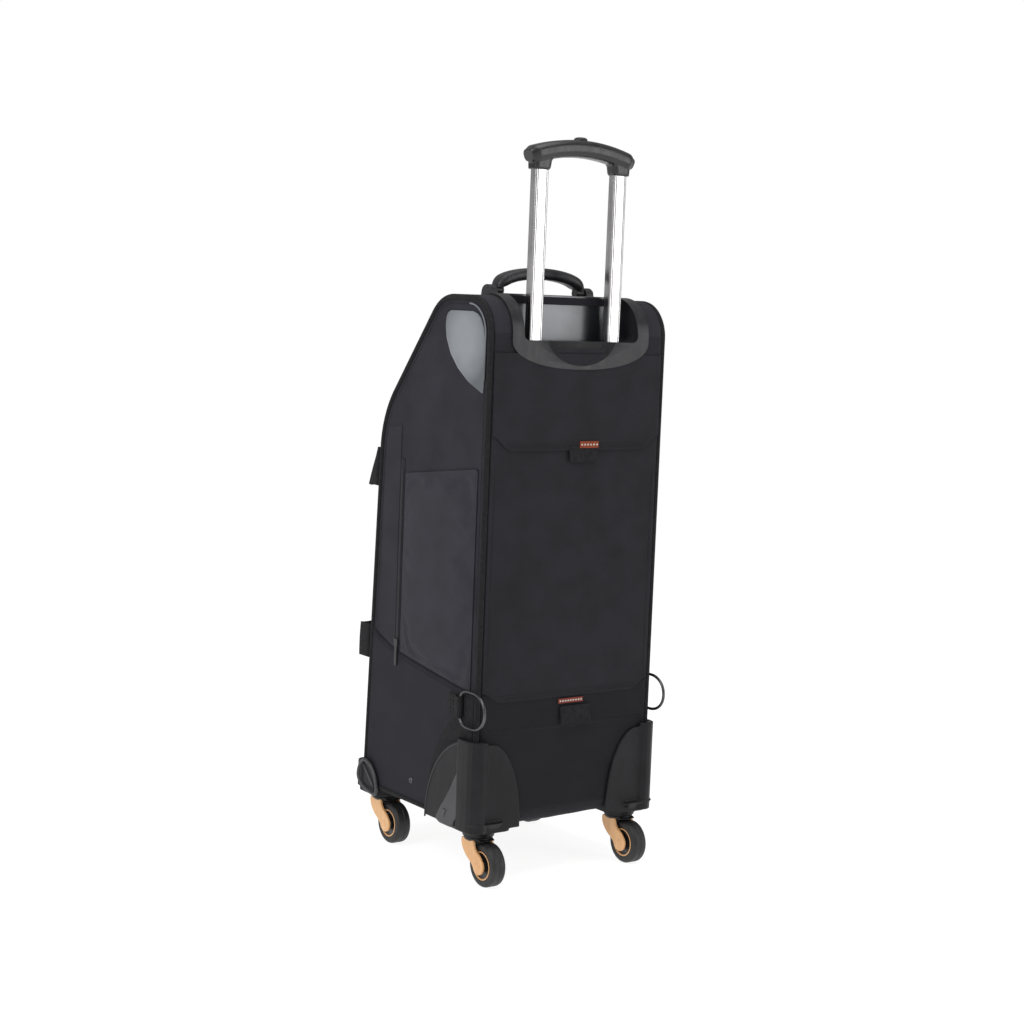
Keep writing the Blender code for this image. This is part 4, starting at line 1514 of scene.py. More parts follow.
        def edges(height: float) -> tuple[float, float]:
            """The band's front, along the bag's edge, and its upright back."""
            return max(PROFILE.span(height, 0.0165)[0], -0.106), self.zip_y - 0.0062

        def slant(y: float, z: float) -> float:
            """Slopes the band's ends."""
            share = (z - 0.295) / 0.3
            return (1 - share) * (self.seam_height(y) + 0.001) + share * (0.595 + 0.15 * (y + 0.08))

        return side_patch("side_band_left", edges, even(0.295, 0.595, 70), 12, 0.0009, finishes.of("band_cloth"), 0.0014, slant, 0.0004)

    def seams(self, finishes: Finishes) -> SideSet:
        """The stitch rows of one side."""
        lines = []
        for drop in (0.003, 0.0075):
            lines.append(side_line([(y, self.seam_height(y) - drop) for y in even(-0.124, 0.132, 24)], 0.0014))
        for inset in (0.0125,):
            loop = [p for p in PROFILE.loop(inset) if 0.0905 < p[1] < 0.766]
            front = [p for p in loop if p[0] < 0.02 and p[1] < 0.765]
            back = [p for p in loop if p[0] > 0.02]
            lines.append(side_line([tuple(p) for p in front if p[1] > 0.31], 0.0003))
            lines.append(side_line([tuple(p) for p in reversed(back) if p[1] > 0.3], 0.0003))
        lines.append(side_line([(self.pocket_front + 0.003, z) for z in even(0.29, 0.524, 10)], 0.0021))
        lines.append(side_line([(self.pocket_back - 0.003, z) for z in even(0.27, 0.545, 10)], 0.0021))
        stitches = SEAM_STITCH.lay("side_stitches_left", lines, finishes.of("dark_thread"))
        return [(stitches, "bag", "ballistic_fabric", ())]

    def piping(self, finishes: Finishes) -> SideSet:
        """The corded piping round the side's edge."""
        loop = PROFILE.loop(0.004)
        path = [(PIPING_X, y, z) for y, z in loop]
        start, end = loop[-1], loop[0]
        path += [(PIPING_X, start[0] + (end[0] - start[0]) * k / 16, start[1] + (end[1] - start[1]) * k / 16) for k in range(1, 16)]
        outline = round_outline(0.004, 12)
        cord = swept("piping_cord_left", path, lambda share: outline, (1, 0, 0), finishes.of("piping"), closed=True)
        return [(cord, "bag", "webbing", ("piping_left",))]

    def eyelet(self, finishes: Finishes) -> SideSet:
        """The small drain eyelet low on the side."""
        y, z = -0.013, 0.111
        x = side_folds(y, z) + 0.0011
        profile = [(0.0022, -0.001), (0.004, -0.001), (0.0043, 0.0004), (0.0036, 0.0011), (0.0026, 0.0009), (0.0021, 0.0002)]
        ring = turned("drain_eyelet_left", profile, (x, y, z), finishes.of("dark_metal"), 28)
        hole = turned("drain_hole_left", [(0.0001, -0.0008), (0.0024, -0.0008), (0.0024, 0.0001), (0.0001, 0.0001)], (x, y, z), finishes.of("grip_plastic"), 20)
        return [(joined("side_eyelet_left", [ring, hole]), "bag", "dark_metal", ())]

    def guard_backing(self, finishes: Finishes) -> SideSet:
        """The coated cloth that reaches from the corner guard up to the ring's tab."""
        left = ([0.1, 0.14, 0.17, 0.197, 0.215, 0.236, 0.252], [0.029, 0.035, 0.047, 0.066, 0.082, 0.098, 0.105])

        def edges(height: float) -> tuple[float, float]:
            """The backing's slanting front and upright back."""
            return float(np.interp(height, *left)), PROFILE.span(height, 0.009)[1]

        patch = side_patch("guard_backing_left", edges, even(0.1, 0.252, 40), 24, 0.002, finishes.of("webbing"), 0.0018, bevel=0.0004)
        return [(patch, "bag", "ballistic_fabric", ())]

    def build(self, finishes: Finishes) -> None:
        """Builds both sides."""
        for make in (self.cloth, self.coated_patch, self.pocket, self.zip, self.seams, self.piping, self.eyelet, self.guard_backing):
            settle_both(make(finishes))


# ---------------------------------------------------------------- back and top
@dataclass
class BackCovers:
    """The back: cloth under the tray, an upper flap, the long middle panel, the low band, labels and pull tabs."""

    half: float = 0.1378
    flap_low: float = 0.578
    flap_corner: float = 0.597
    middle_low: float = 0.246
    band_low: float = 0.204
    creases: tuple[tuple[float, ...], ...] = (
        (-0.134, 0.456, 0.045, 0.372, 0.011, 0.0021),
        (-0.134, 0.492, -0.035, 0.462, 0.009, 0.0014),
        (-0.134, 0.408, -0.045, 0.366, 0.010, -0.0012),
        (0.134, 0.482, 0.060, 0.425, 0.010, 0.0013),
        (0.134, 0.318, 0.010, 0.282, 0.011, 0.0013),
        (-0.134, 0.300, -0.020, 0.322, 0.010, 0.0012),
        (0.134, 0.655, 0.030, 0.622, 0.010, 0.0011),
        (-0.134, 0.668, -0.050, 0.630, 0.010, 0.0012),
    )

    def base(self, station: float, x: float) -> float:
        """The height of the back's own cloth."""
        here, lift = Vector((x, PROFILE.at(station)[0].y)), -0.001 + wrap_folds(station, x, 0.0024)
        for x0, z0, x1, z1, wide, high in self.creases:
            start, way = Vector((x0, z0)), Vector((x1 - x0, z1 - z0))
            share = (here - start).dot(way) / way.length_squared
            across = (here - start).cross(way) / way.length / wide
            lift += high * math.exp(-across * across) * ease(share * 4) * ease((1 - share) * 2)
        return lift

    def rounded_edge(self, height: float, rise: float) -> Callable[[float], float]:
        """The station of a lower edge that rises at its two corners."""

        def edge(x: float) -> float:
            """The station at x."""
            return PROFILE.back_station(height + rise * ease((abs(x) - self.half + 0.03) / 0.03))

        return edge

    def cloth(self, finishes: Finishes) -> None:
        """The cloth that wraps the back, open behind the tray."""
        xs = even(-self.half, -0.1, 10) + even(-0.1, 0.1, 44)[1:] + even(0.1, self.half, 10)[1:]
        cut = PROFILE.back_station(0.712)
        start, end = PROFILE.heel_end, PROFILE.stations[-1]
        spans = even(start, cut, 4) + even(cut, end - 0.03, 120)[1:] + even(end - 0.03, end, 10)[1:]
        shares = [(s - start) / (end - start) for s in spans]
        patch = WrapPatch("back_cloth", lambda x: start, lambda x: end, xs, shares, self.base, 0.005)
        piece = patch.build(finishes.of("back_cloth"), lambda s, x: s > cut or abs(x) > 0.1)
        piece["fill"] = 0.2
        settle(piece, "bag", "ballistic_fabric", "back_panel")

    def flap(self, finishes: Finishes) -> None:
        """The upper flap with round lower corners, standing a little off the back."""
        edge = self.rounded_edge(self.flap_low, self.flap_corner - self.flap_low)

        def lift(station: float, x: float) -> float:
            """The flap's height, more at its free edge."""
            near = ease(1.0 - (edge(x) - station) / 0.06)
            return self.base(station, x) + 0.0022 + 0.0012 * near

        patch = WrapPatch("back_upper_flap", lambda x: PROFILE.back_station(0.705), edge, even(-self.half, self.half, 60), even(0, 1, 34), lift, 0.0018, 0.0005)
        flap = cut_from(patch.build(finishes.of("back_cloth")), 2 * self.half, 0.705 - self.flap_low, "hung", "back_cloth")
        settle(flap, "bag", "ballistic_fabric", "back_flap")
        middle_edge = self.rounded_edge(self.middle_low, 0.014)
        middle = WrapPatch(
            "back_middle_panel",
            lambda x: PROFILE.back_station(0.6),
            middle_edge,
            even(-self.half, self.half, 56),
            even(0, 1, 84),
            lambda s, x: self.base(s, x) + 0.0011,
            0.0015,
            0.0004,
        )
        settle(middle.build(finishes.of("back_cloth")), "bag", "ballistic_fabric")
        band = WrapPatch(
            "back_low_band",
            lambda x: PROFILE.back_station(0.26),
            lambda x: PROFILE.back_station(self.band_low),
            even(-self.half, self.half, 48),
            even(0, 1, 12),
            lambda s, x: self.base(s, x) + 0.0004,
            0.0012,
        )
        settle(band.build(finishes.of("low_cloth")), "bag", "ballistic_fabric", "back_pocket")
        low = WrapPatch(
            "back_base_cover",
            lambda x: PROFILE.back_station(0.21),
            lambda x: PROFILE.back_station(0.095),
            even(-self.half, self.half, 40),
            even(0, 1, 24),
            lambda s, x: self.base(s, x) + 0.0003,
            0.001,
        )
        settle(low.build(finishes.of("low_cloth")), "bag", "ballistic_fabric")

    def tab(self, name: str, node: str, centre: float, width: float, low: float, high: float, finishes: Finishes) -> None:
        """A folded webbing tab that hangs from an edge and curls off the back."""
        top, bottom = PROFILE.back_station(high), PROFILE.back_station(low)

        def lift(station: float, x: float) -> float:
            """The tab's height, curling outwards at its end."""
            share = (station - top) / (bottom - top)
            return self.base(station, x) + 0.0048 + 0.0022 * share**2 - 0.0008 * math.cos(share * math.pi)

        patch = WrapPatch(name, lambda x: top, lambda x: bottom, even(centre - width / 2, centre + width / 2, 14), even(0, 1, 12), lift, 0.0022, 0.0007)
        settle(cut_from(patch.build(finishes.of("webbing")), width, high - low, "hung", "back_cloth"), "bag", "webbing", node)

    def label(self, name: str, centre: float, width: float, low: float, high: float, lift: float, cloth: str, finishes: Finishes) -> None:
        """A woven label with a row of plain pale stitches."""
        top, bottom = PROFILE.back_station(high), PROFILE.back_station(low)
        height = lambda s, x: self.base(s, x) + lift
        patch = WrapPatch(name, lambda x: top, lambda x: bottom, even(centre - width / 2, centre + width / 2, 12), even(0, 1, 5), height, 0.0009, 0.0003)
        label = patch.build(finishes.of(cloth))
        middle = (top + bottom) / 2
        line = wrap_line([(middle, centre - width / 2 + 0.003), (middle, centre + width / 2 - 0.003)], lambda s, x: height(s, x) + 0.0003)
        thread = LABEL_STITCH.lay(name + "_thread", [line], finishes.of("pale_thread"))
        settle(joined(name, [label, thread]), "bag", "webbing")

    def seams(self, finishes: Finishes) -> None:
        """The stitch rows of the back."""
        lines = []
        over = lambda s, x: self.base(s, x) + 0.004
        for rise in (0.004, 0.0085):
            lines.append(wrap_line([(PROFILE.back_station(self.flap_low + rise), -0.112), (PROFILE.back_station(self.flap_low + rise), 0.112)], over))
            lines.append(
                wrap_line(
                    [(PROFILE.back_station(self.middle_low + rise), -0.116), (PROFILE.back_station(self.middle_low + rise), 0.116)],
                    lambda s, x: self.base(s, x) + 0.0014,
                )
            )
        lines.append(wrap_line([(PROFILE.back_station(self.band_low + 0.004), -0.128), (PROFILE.back_station(self.band_low + 0.004), 0.128)], lambda s, x: self.base(s, x) + 0.0007))
        for x in (-0.131, 0.131):
            lines.append(wrap_line([(PROFILE.back_station(0.545), x), (PROFILE.back_station(0.28), x)], lambda s, x: self.base(s, x) + 0.0014))
        settle(SEAM_STITCH.lay("back_stitches", lines, finishes.of("dark_thread")), "bag", "ballistic_fabric")

    def top(self, finishes: Finishes) -> None:
        """The cloth over the crown and the top, open behind the tray."""
        xs = even(-self.half, -0.1, 10) + even(-0.1, 0.1, 36)[1:] + even(0.1, self.half, 10)[1:]
        start, end = PROFILE.front_station(0.7085), PROFILE.heel_end
        cut = next(s for s, (p, _) in zip(PROFILE.stations, PROFILE.run) if p.x >= 0.09 and p.y > 0.7)
        spans = even(start, cut, 44) + even(cut, end, 20)[1:]
        shares = [(s - start) / (end - start) for s in spans]
        patch = WrapPatch("top_cloth", lambda x: start, lambda x: end, xs, shares, lambda s, x: -0.001 + wrap_folds(s, x, 0.0008), 0.005)
        piece = patch.build(finishes.of("body_cloth"), lambda s, x: s < cut or abs(x) > 0.1)
        piece["fill"] = 0.2
        settle(piece, "bag", "ballistic_fabric", "top_panel")

    def build(self, finishes: Finishes) -> None:
        """Builds the back and the top."""
        self.cloth(finishes)
        self.flap(finishes)
        self.tab("upper_pull_tab", "pull_tab_upper", -0.0085, 0.046, 0.563, 0.584, finishes)
        self.tab("lower_pull_tab", "pull_tab_lower", -0.013, 0.05, 0.209, 0.233, finishes)
        self.label("upper_label", -0.0175, 0.031, 0.581, 0.59, 0.005, "orange_label", finishes)
        self.label("lower_label", -0.0055, 0.041, 0.237, 0.2435, 0.003, "red_label", finishes)
        self.seams(finishes)
        self.top(finishes)


# ---------------------------------------------------------------- front frame and door
@dataclass
class FrontDoor:
    """The front frame and the zipped door in it, with a bellows pocket."""

    door_half: float = 0.1185
    frame_hole: float = 0.1195
    sill: float = 0.124
    top: float = 0.7
    header: float = 0.7092

    def door_lift(self, station: float, x: float) -> float:
        """The door's height above the outline, padded towards its middle."""
        first, last = PROFILE.front_station(self.sill), PROFILE.front_station(self.top)
        near = min(self.door_half - abs(x), station - first, last - station)
        pad = ease(near / 0.035)
        return 0.0008 + 0.0035 * pad + 0.0012 * pad * fold_noise(x, station, 9.0)

    def frame_lift(self, station: float, x: float) -> float:
        """The frame's height above the outline."""
        return -0.001 + 0.5 * wrap_folds(station, x, 0.0008)

    def frame(self, finishes: Finishes) -> None:
        """The cloth frame round the door."""
        start, end = 0.0, PROFILE.front_station(self.header)
        low, high = PROFILE.front_station(self.sill) - 0.0005, PROFILE.front_station(self.top) + 0.0005
        xs = even(-0.1378, -self.frame_hole, 6) + even(-self.frame_hole, self.frame_hole, 40)[1:] + even(self.frame_hole, 0.1378, 6)[1:]
        spans = even(start, low, 14) + even(low, high, 110)[1:] + even(high, end, 4)[1:]
        patch = WrapPatch("front_frame_cloth", lambda x: start, lambda x: end, xs, [s / end for s in spans], self.frame_lift, 0.006)
        piece = patch.build(finishes.of("body_cloth"), lambda s, x: s < low or s > high or abs(x) > self.frame_hole)
        piece["fill"] = 0.2
        settle(piece, "bag", "ballistic_fabric", "front_frame")

    def door(self, finishes: Finishes) -> None:
        """The padded door."""
        low, high = PROFILE.front_station(self.sill), PROFILE.front_station(self.top)
        xs = even(-self.door_half, -0.09, 8) + even(-0.09, 0.09, 32)[1:] + even(0.09, self.door_half, 8)[1:]
        shares = even(0, 0.06, 8) + even(0.06, 0.94, 96)[1:] + even(0.94, 1, 8)[1:]
        patch = WrapPatch("door_cloth", lambda x: low, lambda x: high, xs, shares, self.door_lift, 0.0075, 0.0008)
        door = patch.build(finishes.of("body_cloth"))
        door["fill"] = 0.3
        settle(door, "door", "ballistic_fabric", "front_door")

    def edge_path(self, half: float, inset: float) -> Outline:
        """The zip's run (station, x): up one side, across the top and down the other."""
        low, high = PROFILE.front_station(self.sill) + 0.004, PROFILE.front_station(self.top) - inset
        turn = 0.004
        return [(low, half), (high - turn, half), (high, half - turn), (high, -half + turn), (high - turn, -half), (low, -half)]

    def zip(self, finishes: Finishes) -> None:
        """The zip's two rows of teeth, two rows of stitches along the door's edge and the two sliders."""
        on_door = ZIP_TOOTH.lay(
            "door_zip_teeth", [wrap_line(self.edge_path(self.door_half - 0.0012, 0.0012), lambda s, x: 0.0016)], finishes.of("dark_metal")
        )
        settle(on_door, "door", "dark_metal")
        on_frame = ZIP_TOOTH.lay(
            "frame_zip_teeth", [wrap_line(self.edge_path(self.frame_hole + 0.0016, -0.002), lambda s, x: 0.0004)], finishes.of("dark_metal")
        )
        settle(on_frame, "bag", "dark_metal")
        for word in ("top", "side"):
            slider = refined_copy(f"door_slider_metal_{word}", f"door_zip_slider_{word}", finishes.of("dark_metal"), 0.0004)
            settle(slider, f"door_slider_{word}", "dark_metal", f"door_zip_slider_{word}")
        lines = []
        for inset in (0.0085, 0.012):
            path = self.edge_path(self.door_half - inset, inset)
            lines.append(wrap_line(path, lambda s, x: self.door_lift(s, x) + 0.0001))
        settle(SEAM_STITCH.lay("door_stitches", lines, finishes.of("dark_thread")), "door", "ballistic_fabric")

    def pocket(self, finishes: Finishes) -> None:
        """The bellows pocket on the door, with a flap over its zip."""
        low, high, half = PROFILE.front_station(0.156), PROFILE.front_station(0.43), 0.0995

        def place(u: float, v: float, lift: float) -> Vector:
            """A point of the pocket."""
            station, x = low + (high - low) * v, half * (1 - 2 * u)
            return wrap_point(station, x, self.door_lift(station, x) + 0.0004 + lift)

        def depth(u: float, v: float) -> float:
            """The pocket's height: steep walls and a nearly flat face."""
            wall = min(ease(min(u, 1 - u) / 0.07), ease(v / 0.05), ease((1 - v) / 0.05))
            return 0.0012 + 0.0085 * wall + 0.0025 * wall * math.sin(math.pi * u) * math.sin(math.pi * v)

        piece = pouch("door_pocket_pouch", place, (64, 84), depth, finishes.of("pocket_cloth"))

        def held(point: Vector) -> bool:
            """Whether a point of the pocket is sewn to the door."""
            edge = min(half - abs(point.x), point.z - 0.156, 0.43 - point.z) < 0.004
            front = wrap_point(PROFILE.front_station(min(max(point.z, 0.13), 0.69)), point.x, 0.0).y
            return edge or point.y > front - 0.0075

        inflate(piece, 2.6, 0.005, held, 0.015)
        piece["fill"] = 0.5
        settle(piece, "door", "pocket_fabric", "door_pocket")
        seam = low + (high - low) * 0.8
        rows = []
        for share in even(0.0, 1.0, 10):
            station = seam + 0.022 - 0.03 * share
            height = lambda s, x: self.door_lift(s, x) + 0.0132 + 0.0008 * math.sin(math.pi * share) + 0.0035 * math.sin(math.pi * (0.5 + x / 2 / half)) ** 1.0
            rows.append([wrap_point(station, x, height(station, x)) for x in even(-half + 0.012, half - 0.012, 40)])
        flap = sheet_grid("door_pocket_flap", rows, finishes.of("body_cloth"), (0, -1, 0), 0.0018, bevel=0.0005)
        settle(flap, "door", "pocket_fabric")

    def build(self, finishes: Finishes) -> None:
        """Builds the front."""
        self.frame(finishes)
        self.door(finishes)
        self.zip(finishes)
        self.pocket(finishes)


# ---------------------------------------------------------------- straps, rings and handle
@dataclass
class WebLoops:
    """Folded webbing loops sewn into the front seam, two on each side."""

    inner_x: float = 0.128
    outer_x: float = 0.146
    wall: float = 0.0022

    def loop(self, name: str, node: str, low: float, high: float, reach_low: float, reach_high: float, finishes: Finishes) -> SideSet:
        """One loop, open up and down, slack at its fold.

        Args:
            name: the piece's name.
            node: the CAD node it stands for.
            low: its lower edge's height.
            high: its upper edge's height.
            reach_low: how far it stands off the front at its lower edge.
            reach_high: the same at its upper edge.
            finishes: the bag's finishes.

        Returns:
            The left loop.
        """
        rings = []
        rows = 14
        for r in range(rows + 1):
            share = r / rows
            z = low + (high - low) * share
            back = wrap_point(PROFILE.front_station(z), 0, 0).y - 0.0005
            reach = reach_low + (reach_high - reach_low) * share
            middle = ((self.inner_x + self.outer_x) / 2, back - reach / 2)
            outline = soft_rectangle(self.outer_x - self.inner_x, reach, min(0.0045, reach / 2.2), 5, middle)
            sag = 0.0006 * math.sin(math.pi * share)
            rings.append([(x + sag * (1 if x > middle[0] else -1), y, z - 0.0015 * math.cos(6.28 * (x - middle[0]) / 0.036)) for x, y in outline])
        size, points = len(rings[0]), [p for ring in rings for p in ring]
        around = [0.0]
        for a, b in zip(rings[0], rings[0][1:]):
            around.append(around[-1] + math.dist(a, b))
        cloth = [(r * (high - low) / rows, around[k]) for r in range(rows + 1) for k in range(size)]
        faces = [(r * size + k, r * size + (k + 1) % size, (r + 1) * size + (k + 1) % size, (r + 1) * size + k) for r in range(rows) for k in range(size)]
        piece = surface(name, points, faces, finishes.of("webbing"), cloth, closed=False)
        bm = bmesh.new()
        bm.from_mesh(piece.data)
        middle = Vector((0.137, sum(p[1] for p in points) / len(points), 0.0))
        if sum((f.calc_center_median() - middle).xy.dot(f.normal.xy) for f in bm.faces) < 0:
            bmesh.ops.reverse_faces(bm, faces=bm.faces)
        bm.to_mesh(piece.data)
        bm.free()
        thicken(piece, self.wall, 0.0005)
        cut_from(piece, high - low, around[-1], "folded", "front_frame_cloth")
        return [(piece, "bag", "webbing", (node,))]

    def build(self, finishes: Finishes) -> None:
        """Builds the four loops."""
        settle_both(self.loop("lower_web_loop_left", "web_loop_lower_left", 0.262, 0.31, 0.028, 0.028, finishes))
        settle_both(self.loop("upper_web_loop_left", "web_loop_upper_left", 0.508, 0.562, 0.026, 0.005, finishes))


@dataclass
class RingsAndTabs:
    """The steel D-rings on their webbing tabs at the rear corners."""

    x: float = 0.15
    y: float = 0.108
    low: float = 0.212
    high: float = 0.264
    reach: float = 0.06
    wire: float = 0.002

    def ring(self, finishes: Finishes) -> SideSet:
        """The ring: a straight bar and a bow."""
        middle, tall = (self.low + self.high) / 2, (self.high - self.low) / 2 - self.wire
        long = (self.reach - self.wire) / 2
        path = []
        for k in range(72):
            a, b = math.cos(2 * math.pi * k / 72), math.sin(2 * math.pi * k / 72)
            power = 2 / 2.1 if a > 0 else 2 / 3.6
            path.append((self.x, self.y + long + long * math.copysign(abs(a) ** power, a), middle + tall * math.copysign(abs(b) ** power, b)))
        outline = round_outline(self.wire, 12)
        wire = swept("d_ring_wire_left", path, lambda share: outline, (1, 0, 0), finishes.of("dark_metal"), closed=True)
        return [(wire, "ring_left", "dark_metal", ("d_ring_left",))]

    def tab(self, finishes: Finishes) -> SideSet:
        """Webbing wrapped round the bar and sewn to the side, under a bar tack."""
        radius, thick = 0.003, 0.0014
        inner, outer = [], []
        for k in range(15):
            turn = math.pi * (-0.5 + k / 14)
            inner.append((self.x + radius * math.sin(turn), self.y + radius * math.cos(turn)))
            outer.append((self.x + (radius + thick) * math.sin(turn), self.y + (radius + thick) * math.cos(turn)))
        base = 0.1452
        line = [(base, self.y - 0.032), (base, self.y - 0.012), (self.x - radius, self.y - 0.002)] + inner
        line += [(self.x + radius, self.y - 0.004), (base + 0.0018, self.y - 0.014), (base + 0.0018, self.y - 0.03)]
        rows = [[(x, y, z) for x, y in line] for z in even(0.224, 0.252, 10)]
        strap = sheet_grid("ring_strap_left", rows, finishes.of("webbing"), (1, 0, 0), thick, bevel=0.0003)
        tack = [side_line([(self.y - 0.024, z) for z in even(0.227, 0.249, 4)], 0.0046), side_line([(self.y - 0.018, z) for z in even(0.227, 0.249, 4)], 0.0046)]
        thread = SEAM_STITCH.lay("ring_tack_left", tack, finishes.of("dark_thread"))
        length = sum(math.dist(a, b) for a, b in zip(line, line[1:]))
        tab = cut_from(joined("ring_tab_strap_left", [strap, thread]), 0.028, length, "folded", "side_base_cloth_left")
        return [(tab, "bag", "webbing", ("ring_tab_left",))]

    def build(self, finishes: Finishes) -> None:
        """Builds both rings and tabs."""
        settle_both(self.ring(finishes))
        settle_both(self.tab(finishes))


@dataclass
class CarryHandle:
    """The arched carry handle on its two pivots."""

    half: float = 0.0675
    axis: tuple[float, float] = (0.041, 0.785)
    rise: float = 0.0205

    def build(self, finishes: Finishes) -> None:
        """Builds the handle and its two end blocks."""
        y, z = self.axis
        path = []
        for k in range(49):
            turn = math.pi * k / 48
            path.append((self.half * math.cos(turn), y, z + 0.0035 + self.rise * math.sin(turn) ** 0.95))

        def section(share: float) -> Outline:
            """Fuller in the middle, slimmer at the feet."""
            middle = ease(math.sin(math.pi * share) * 2.0)
            return soft_rectangle(0.02 + 0.0055 * middle, 0.0105 + 0.005 * middle, 0.0048 + 0.002 * middle, 5)

        arch = swept("handle_arch", path, section, (0, 1, 0), finishes.of("trim_plastic"), sharp=50)
        feet = []
        for sign in (-1, 1):
            outer = [(0.0001, -0.0065), (0.006, -0.0065), (0.007, -0.0055), (0.007, 0.0055), (0.006, 0.0065), (0.0001, 0.0065)]
            feet.append(turned(f"handle_foot_{sign}", outer, (sign * self.half, y, z), finishes.of("trim_plastic"), 32))
            pin = [(0.0001, -0.006), (0.0035, -0.006), (0.0035, 0.01), (0.0001, 0.01)]
            pin = [(r, sign * x) for r, x in pin]
            feet.append(turned(f"handle_pin_{sign}", pin, (sign * (self.half + 0.006), y, z), finishes.of("dark_metal"), 20))
        settle(joined("carry_handle_grip", [arch, *feet]), "carry_handle", "black_plastic", "carry_handle")
        for side in Side:
            block = refined_copy(f"handle_block_{side.word}", f"handle_anchor_{side.word}", finishes.of("trim_plastic"), 0.0009)
            settle(block, "bag", "black_plastic", f"handle_anchor_{side.word}")


# ---------------------------------------------------------------- trolley handle
def upright_solid(
    name: str, outline: Sequence[Flat], low: float, high: float, finish: Finish, round_over: float = 0.0
) -> Piece:
    """An (x, y) outline raised from one height to another."""
    return outline_solid(name, outline, lambda a, b, h: (a, b, h), low, high, finish, round_over)


def sideways_solid(
    name: str, outline: Sequence[Flat], low: float, high: float, finish: Finish, round_over: float = 0.0
) -> Piece:
    """A (y, z) outline drawn from one x to another."""
    return outline_solid(name, outline, lambda a, b, h: (h, a, b), low, high, finish, round_over)


def facing_solid(
    name: str, outline: Sequence[Flat], low: float, high: float, finish: Finish, round_over: float = 0.0
) -> Piece:
    """An (x, z) outline drawn from one y to another."""
    return outline_solid(name, outline, lambda a, b, h: (a, h, b), low, high, finish, round_over)


def eased_loop(points: Sequence[Flat], rounds: int = 3) -> Outline:
    """A closed outline with its corners cut again and again until it is a soft curve."""
    loop = [tuple(p) for p in points]
    for _ in range(rounds):
        cut = []
        for (ax, ay), (bx, by) in zip(loop, loop[1:] + loop[:1]):
            cut += [(0.75 * ax + 0.25 * bx, 0.75 * ay + 0.25 * by), (0.25 * ax + 0.75 * bx, 0.25 * ay + 0.75 * by)]
        loop = cut
    return loop


@dataclass
class TrolleyTray:
    """The moulded tray in the back's top: flange, box recess and finger scoop."""

    half: float = 0.1125
    shoulder: float = 0.722
    drop: float = 0.0375
    floor: float = 0.7215
    tube_x: float = 0.0645
    tube_y: float = 0.122
    scoop: Point = (0.067, 0.017, 0.0475)

    def outline(self) -> Outline:
        """The flange seen from behind."""
        points = [(self.half, 0.79)]
        for k in range(40):
            turn = math.pi / 2 * k / 39
            points.append((self.half * max(math.cos(turn), 0.0) ** 0.909, self.shoulder - self.drop * math.sin(turn) ** 0.909))
        points[-1] = (0.0, self.shoulder - self.drop)
        return points + [(-x, z) for x, z in reversed(points[:-1])]

    def outline_body(self, name: str, lift: float) -> Piece:
        """The whole bag's body at a height above its outline, as a cutter."""
        return sideways_solid(name, PROFILE.loop(-lift), -0.2, 0.2, None)

    def build(self, finishes: Finishes) -> None:
        """Builds the tray."""
        tray = facing_solid("tray_flange", self.outline(), 0.0875, 0.16, None)
        carved(tray, self.outline_body("tray_seat", -0.001))
        walls = facing_solid("tray_walls", soft_rectangle(0.196, 0.09, 0.006, 5, (0.0, 0.7625)), 0.0955, 0.15, None)
        backing = facing_solid("tray_backing", soft_rectangle(0.124, 0.04, 0.012, 5, (0.0, 0.708)), 0.1315, 0.1392, None)
        carved(tray, walls, "UNION")
        carved(tray, backing, "UNION")
        carved(tray, self.outline_body("tray_skin", 0.0032), "INTERSECT")
        recess = facing_solid("tray_recess", soft_rectangle(0.188, 0.2, 0.008, 6, (0.0, self.floor + 0.1)), 0.0995, 0.22, None)
        carved(tray, recess)
        bm = bmesh.new()
        bmesh.ops.create_uvsphere(bm, u_segments=64, v_segments=32, radius=1.0)
        bm.transform(Matrix.Translation((0, 0.153, 0.73)) @ Matrix.Diagonal((*self.scoop, 1.0)))
        scoop = bpy.data.meshes.new("tray_scoop")
        bm.to_mesh(scoop)
        bm.free()
        carved(tray, add_piece("tray_scoop", scoop, None))
        for sign in (-1, 1):
            hole = soft_rectangle(0.0225, 0.0145, 0.004, 4, (sign * self.tube_x, self.tube_y))
            carved(tray, upright_solid("tray_tube_hole", hole, 0.7, 0.735, None))
        mesh = tray.data
        bm = bmesh.new()
        bm.from_mesh(mesh)
        bmesh.ops.remove_doubles(bm, verts=bm.verts, dist=0.00002)
        bmesh.ops.dissolve_limit(bm, angle_limit=math.radians(1.0), verts=bm.verts, edges=bm.edges)
        bm.to_mesh(mesh)
        bm.free()
        mesh.materials.clear()
        for finish in ("tray_plastic", "recess_plastic", "guard_plastic"):
            mesh.materials.append(finishes.of(finish))
        for face in mesh.polygons:
            middle = face.center
            # Inner wall faces that look back take the pale painted reflection.
            inner = face.normal.y > 0.5 and middle.y < 0.1002 and abs(middle.x) < 0.0945 and middle.z > self.floor - 0.001
            # Faces on the finger scoop's hollow take the darker guard plastic as painted shade.
            dip = sum(((a - b) / r) ** 2 for a, b, r in zip(middle, (0, 0.153, 0.73), self.scoop))
            face.material_index = 1 if inner else 2 if abs(dip - 1) < 0.05 else 0
        mesh.shade_smooth()
        mesh.set_sharp_from_angle(angle=math.radians(35))
        edge = tray.modifiers.new("rim", "BEVEL")
        edge.width, edge.segments = 0.001, 3
        edge.limit_method, edge.angle_limit = "ANGLE", math.radians(35)
        edge.harden_normals = True
        settle(joined("tray_moulding", [tray]), "bag", "black_plastic", "trolley_tray")
        lip = facing_solid("tray_lip", soft_rectangle(0.187, 0.01, 0.0015, 3, (0.0, 0.7735)), 0.0985, 0.1012, finishes.of("base_cloth"), 0.0004)
        settle(lip, "bag", "webbing")


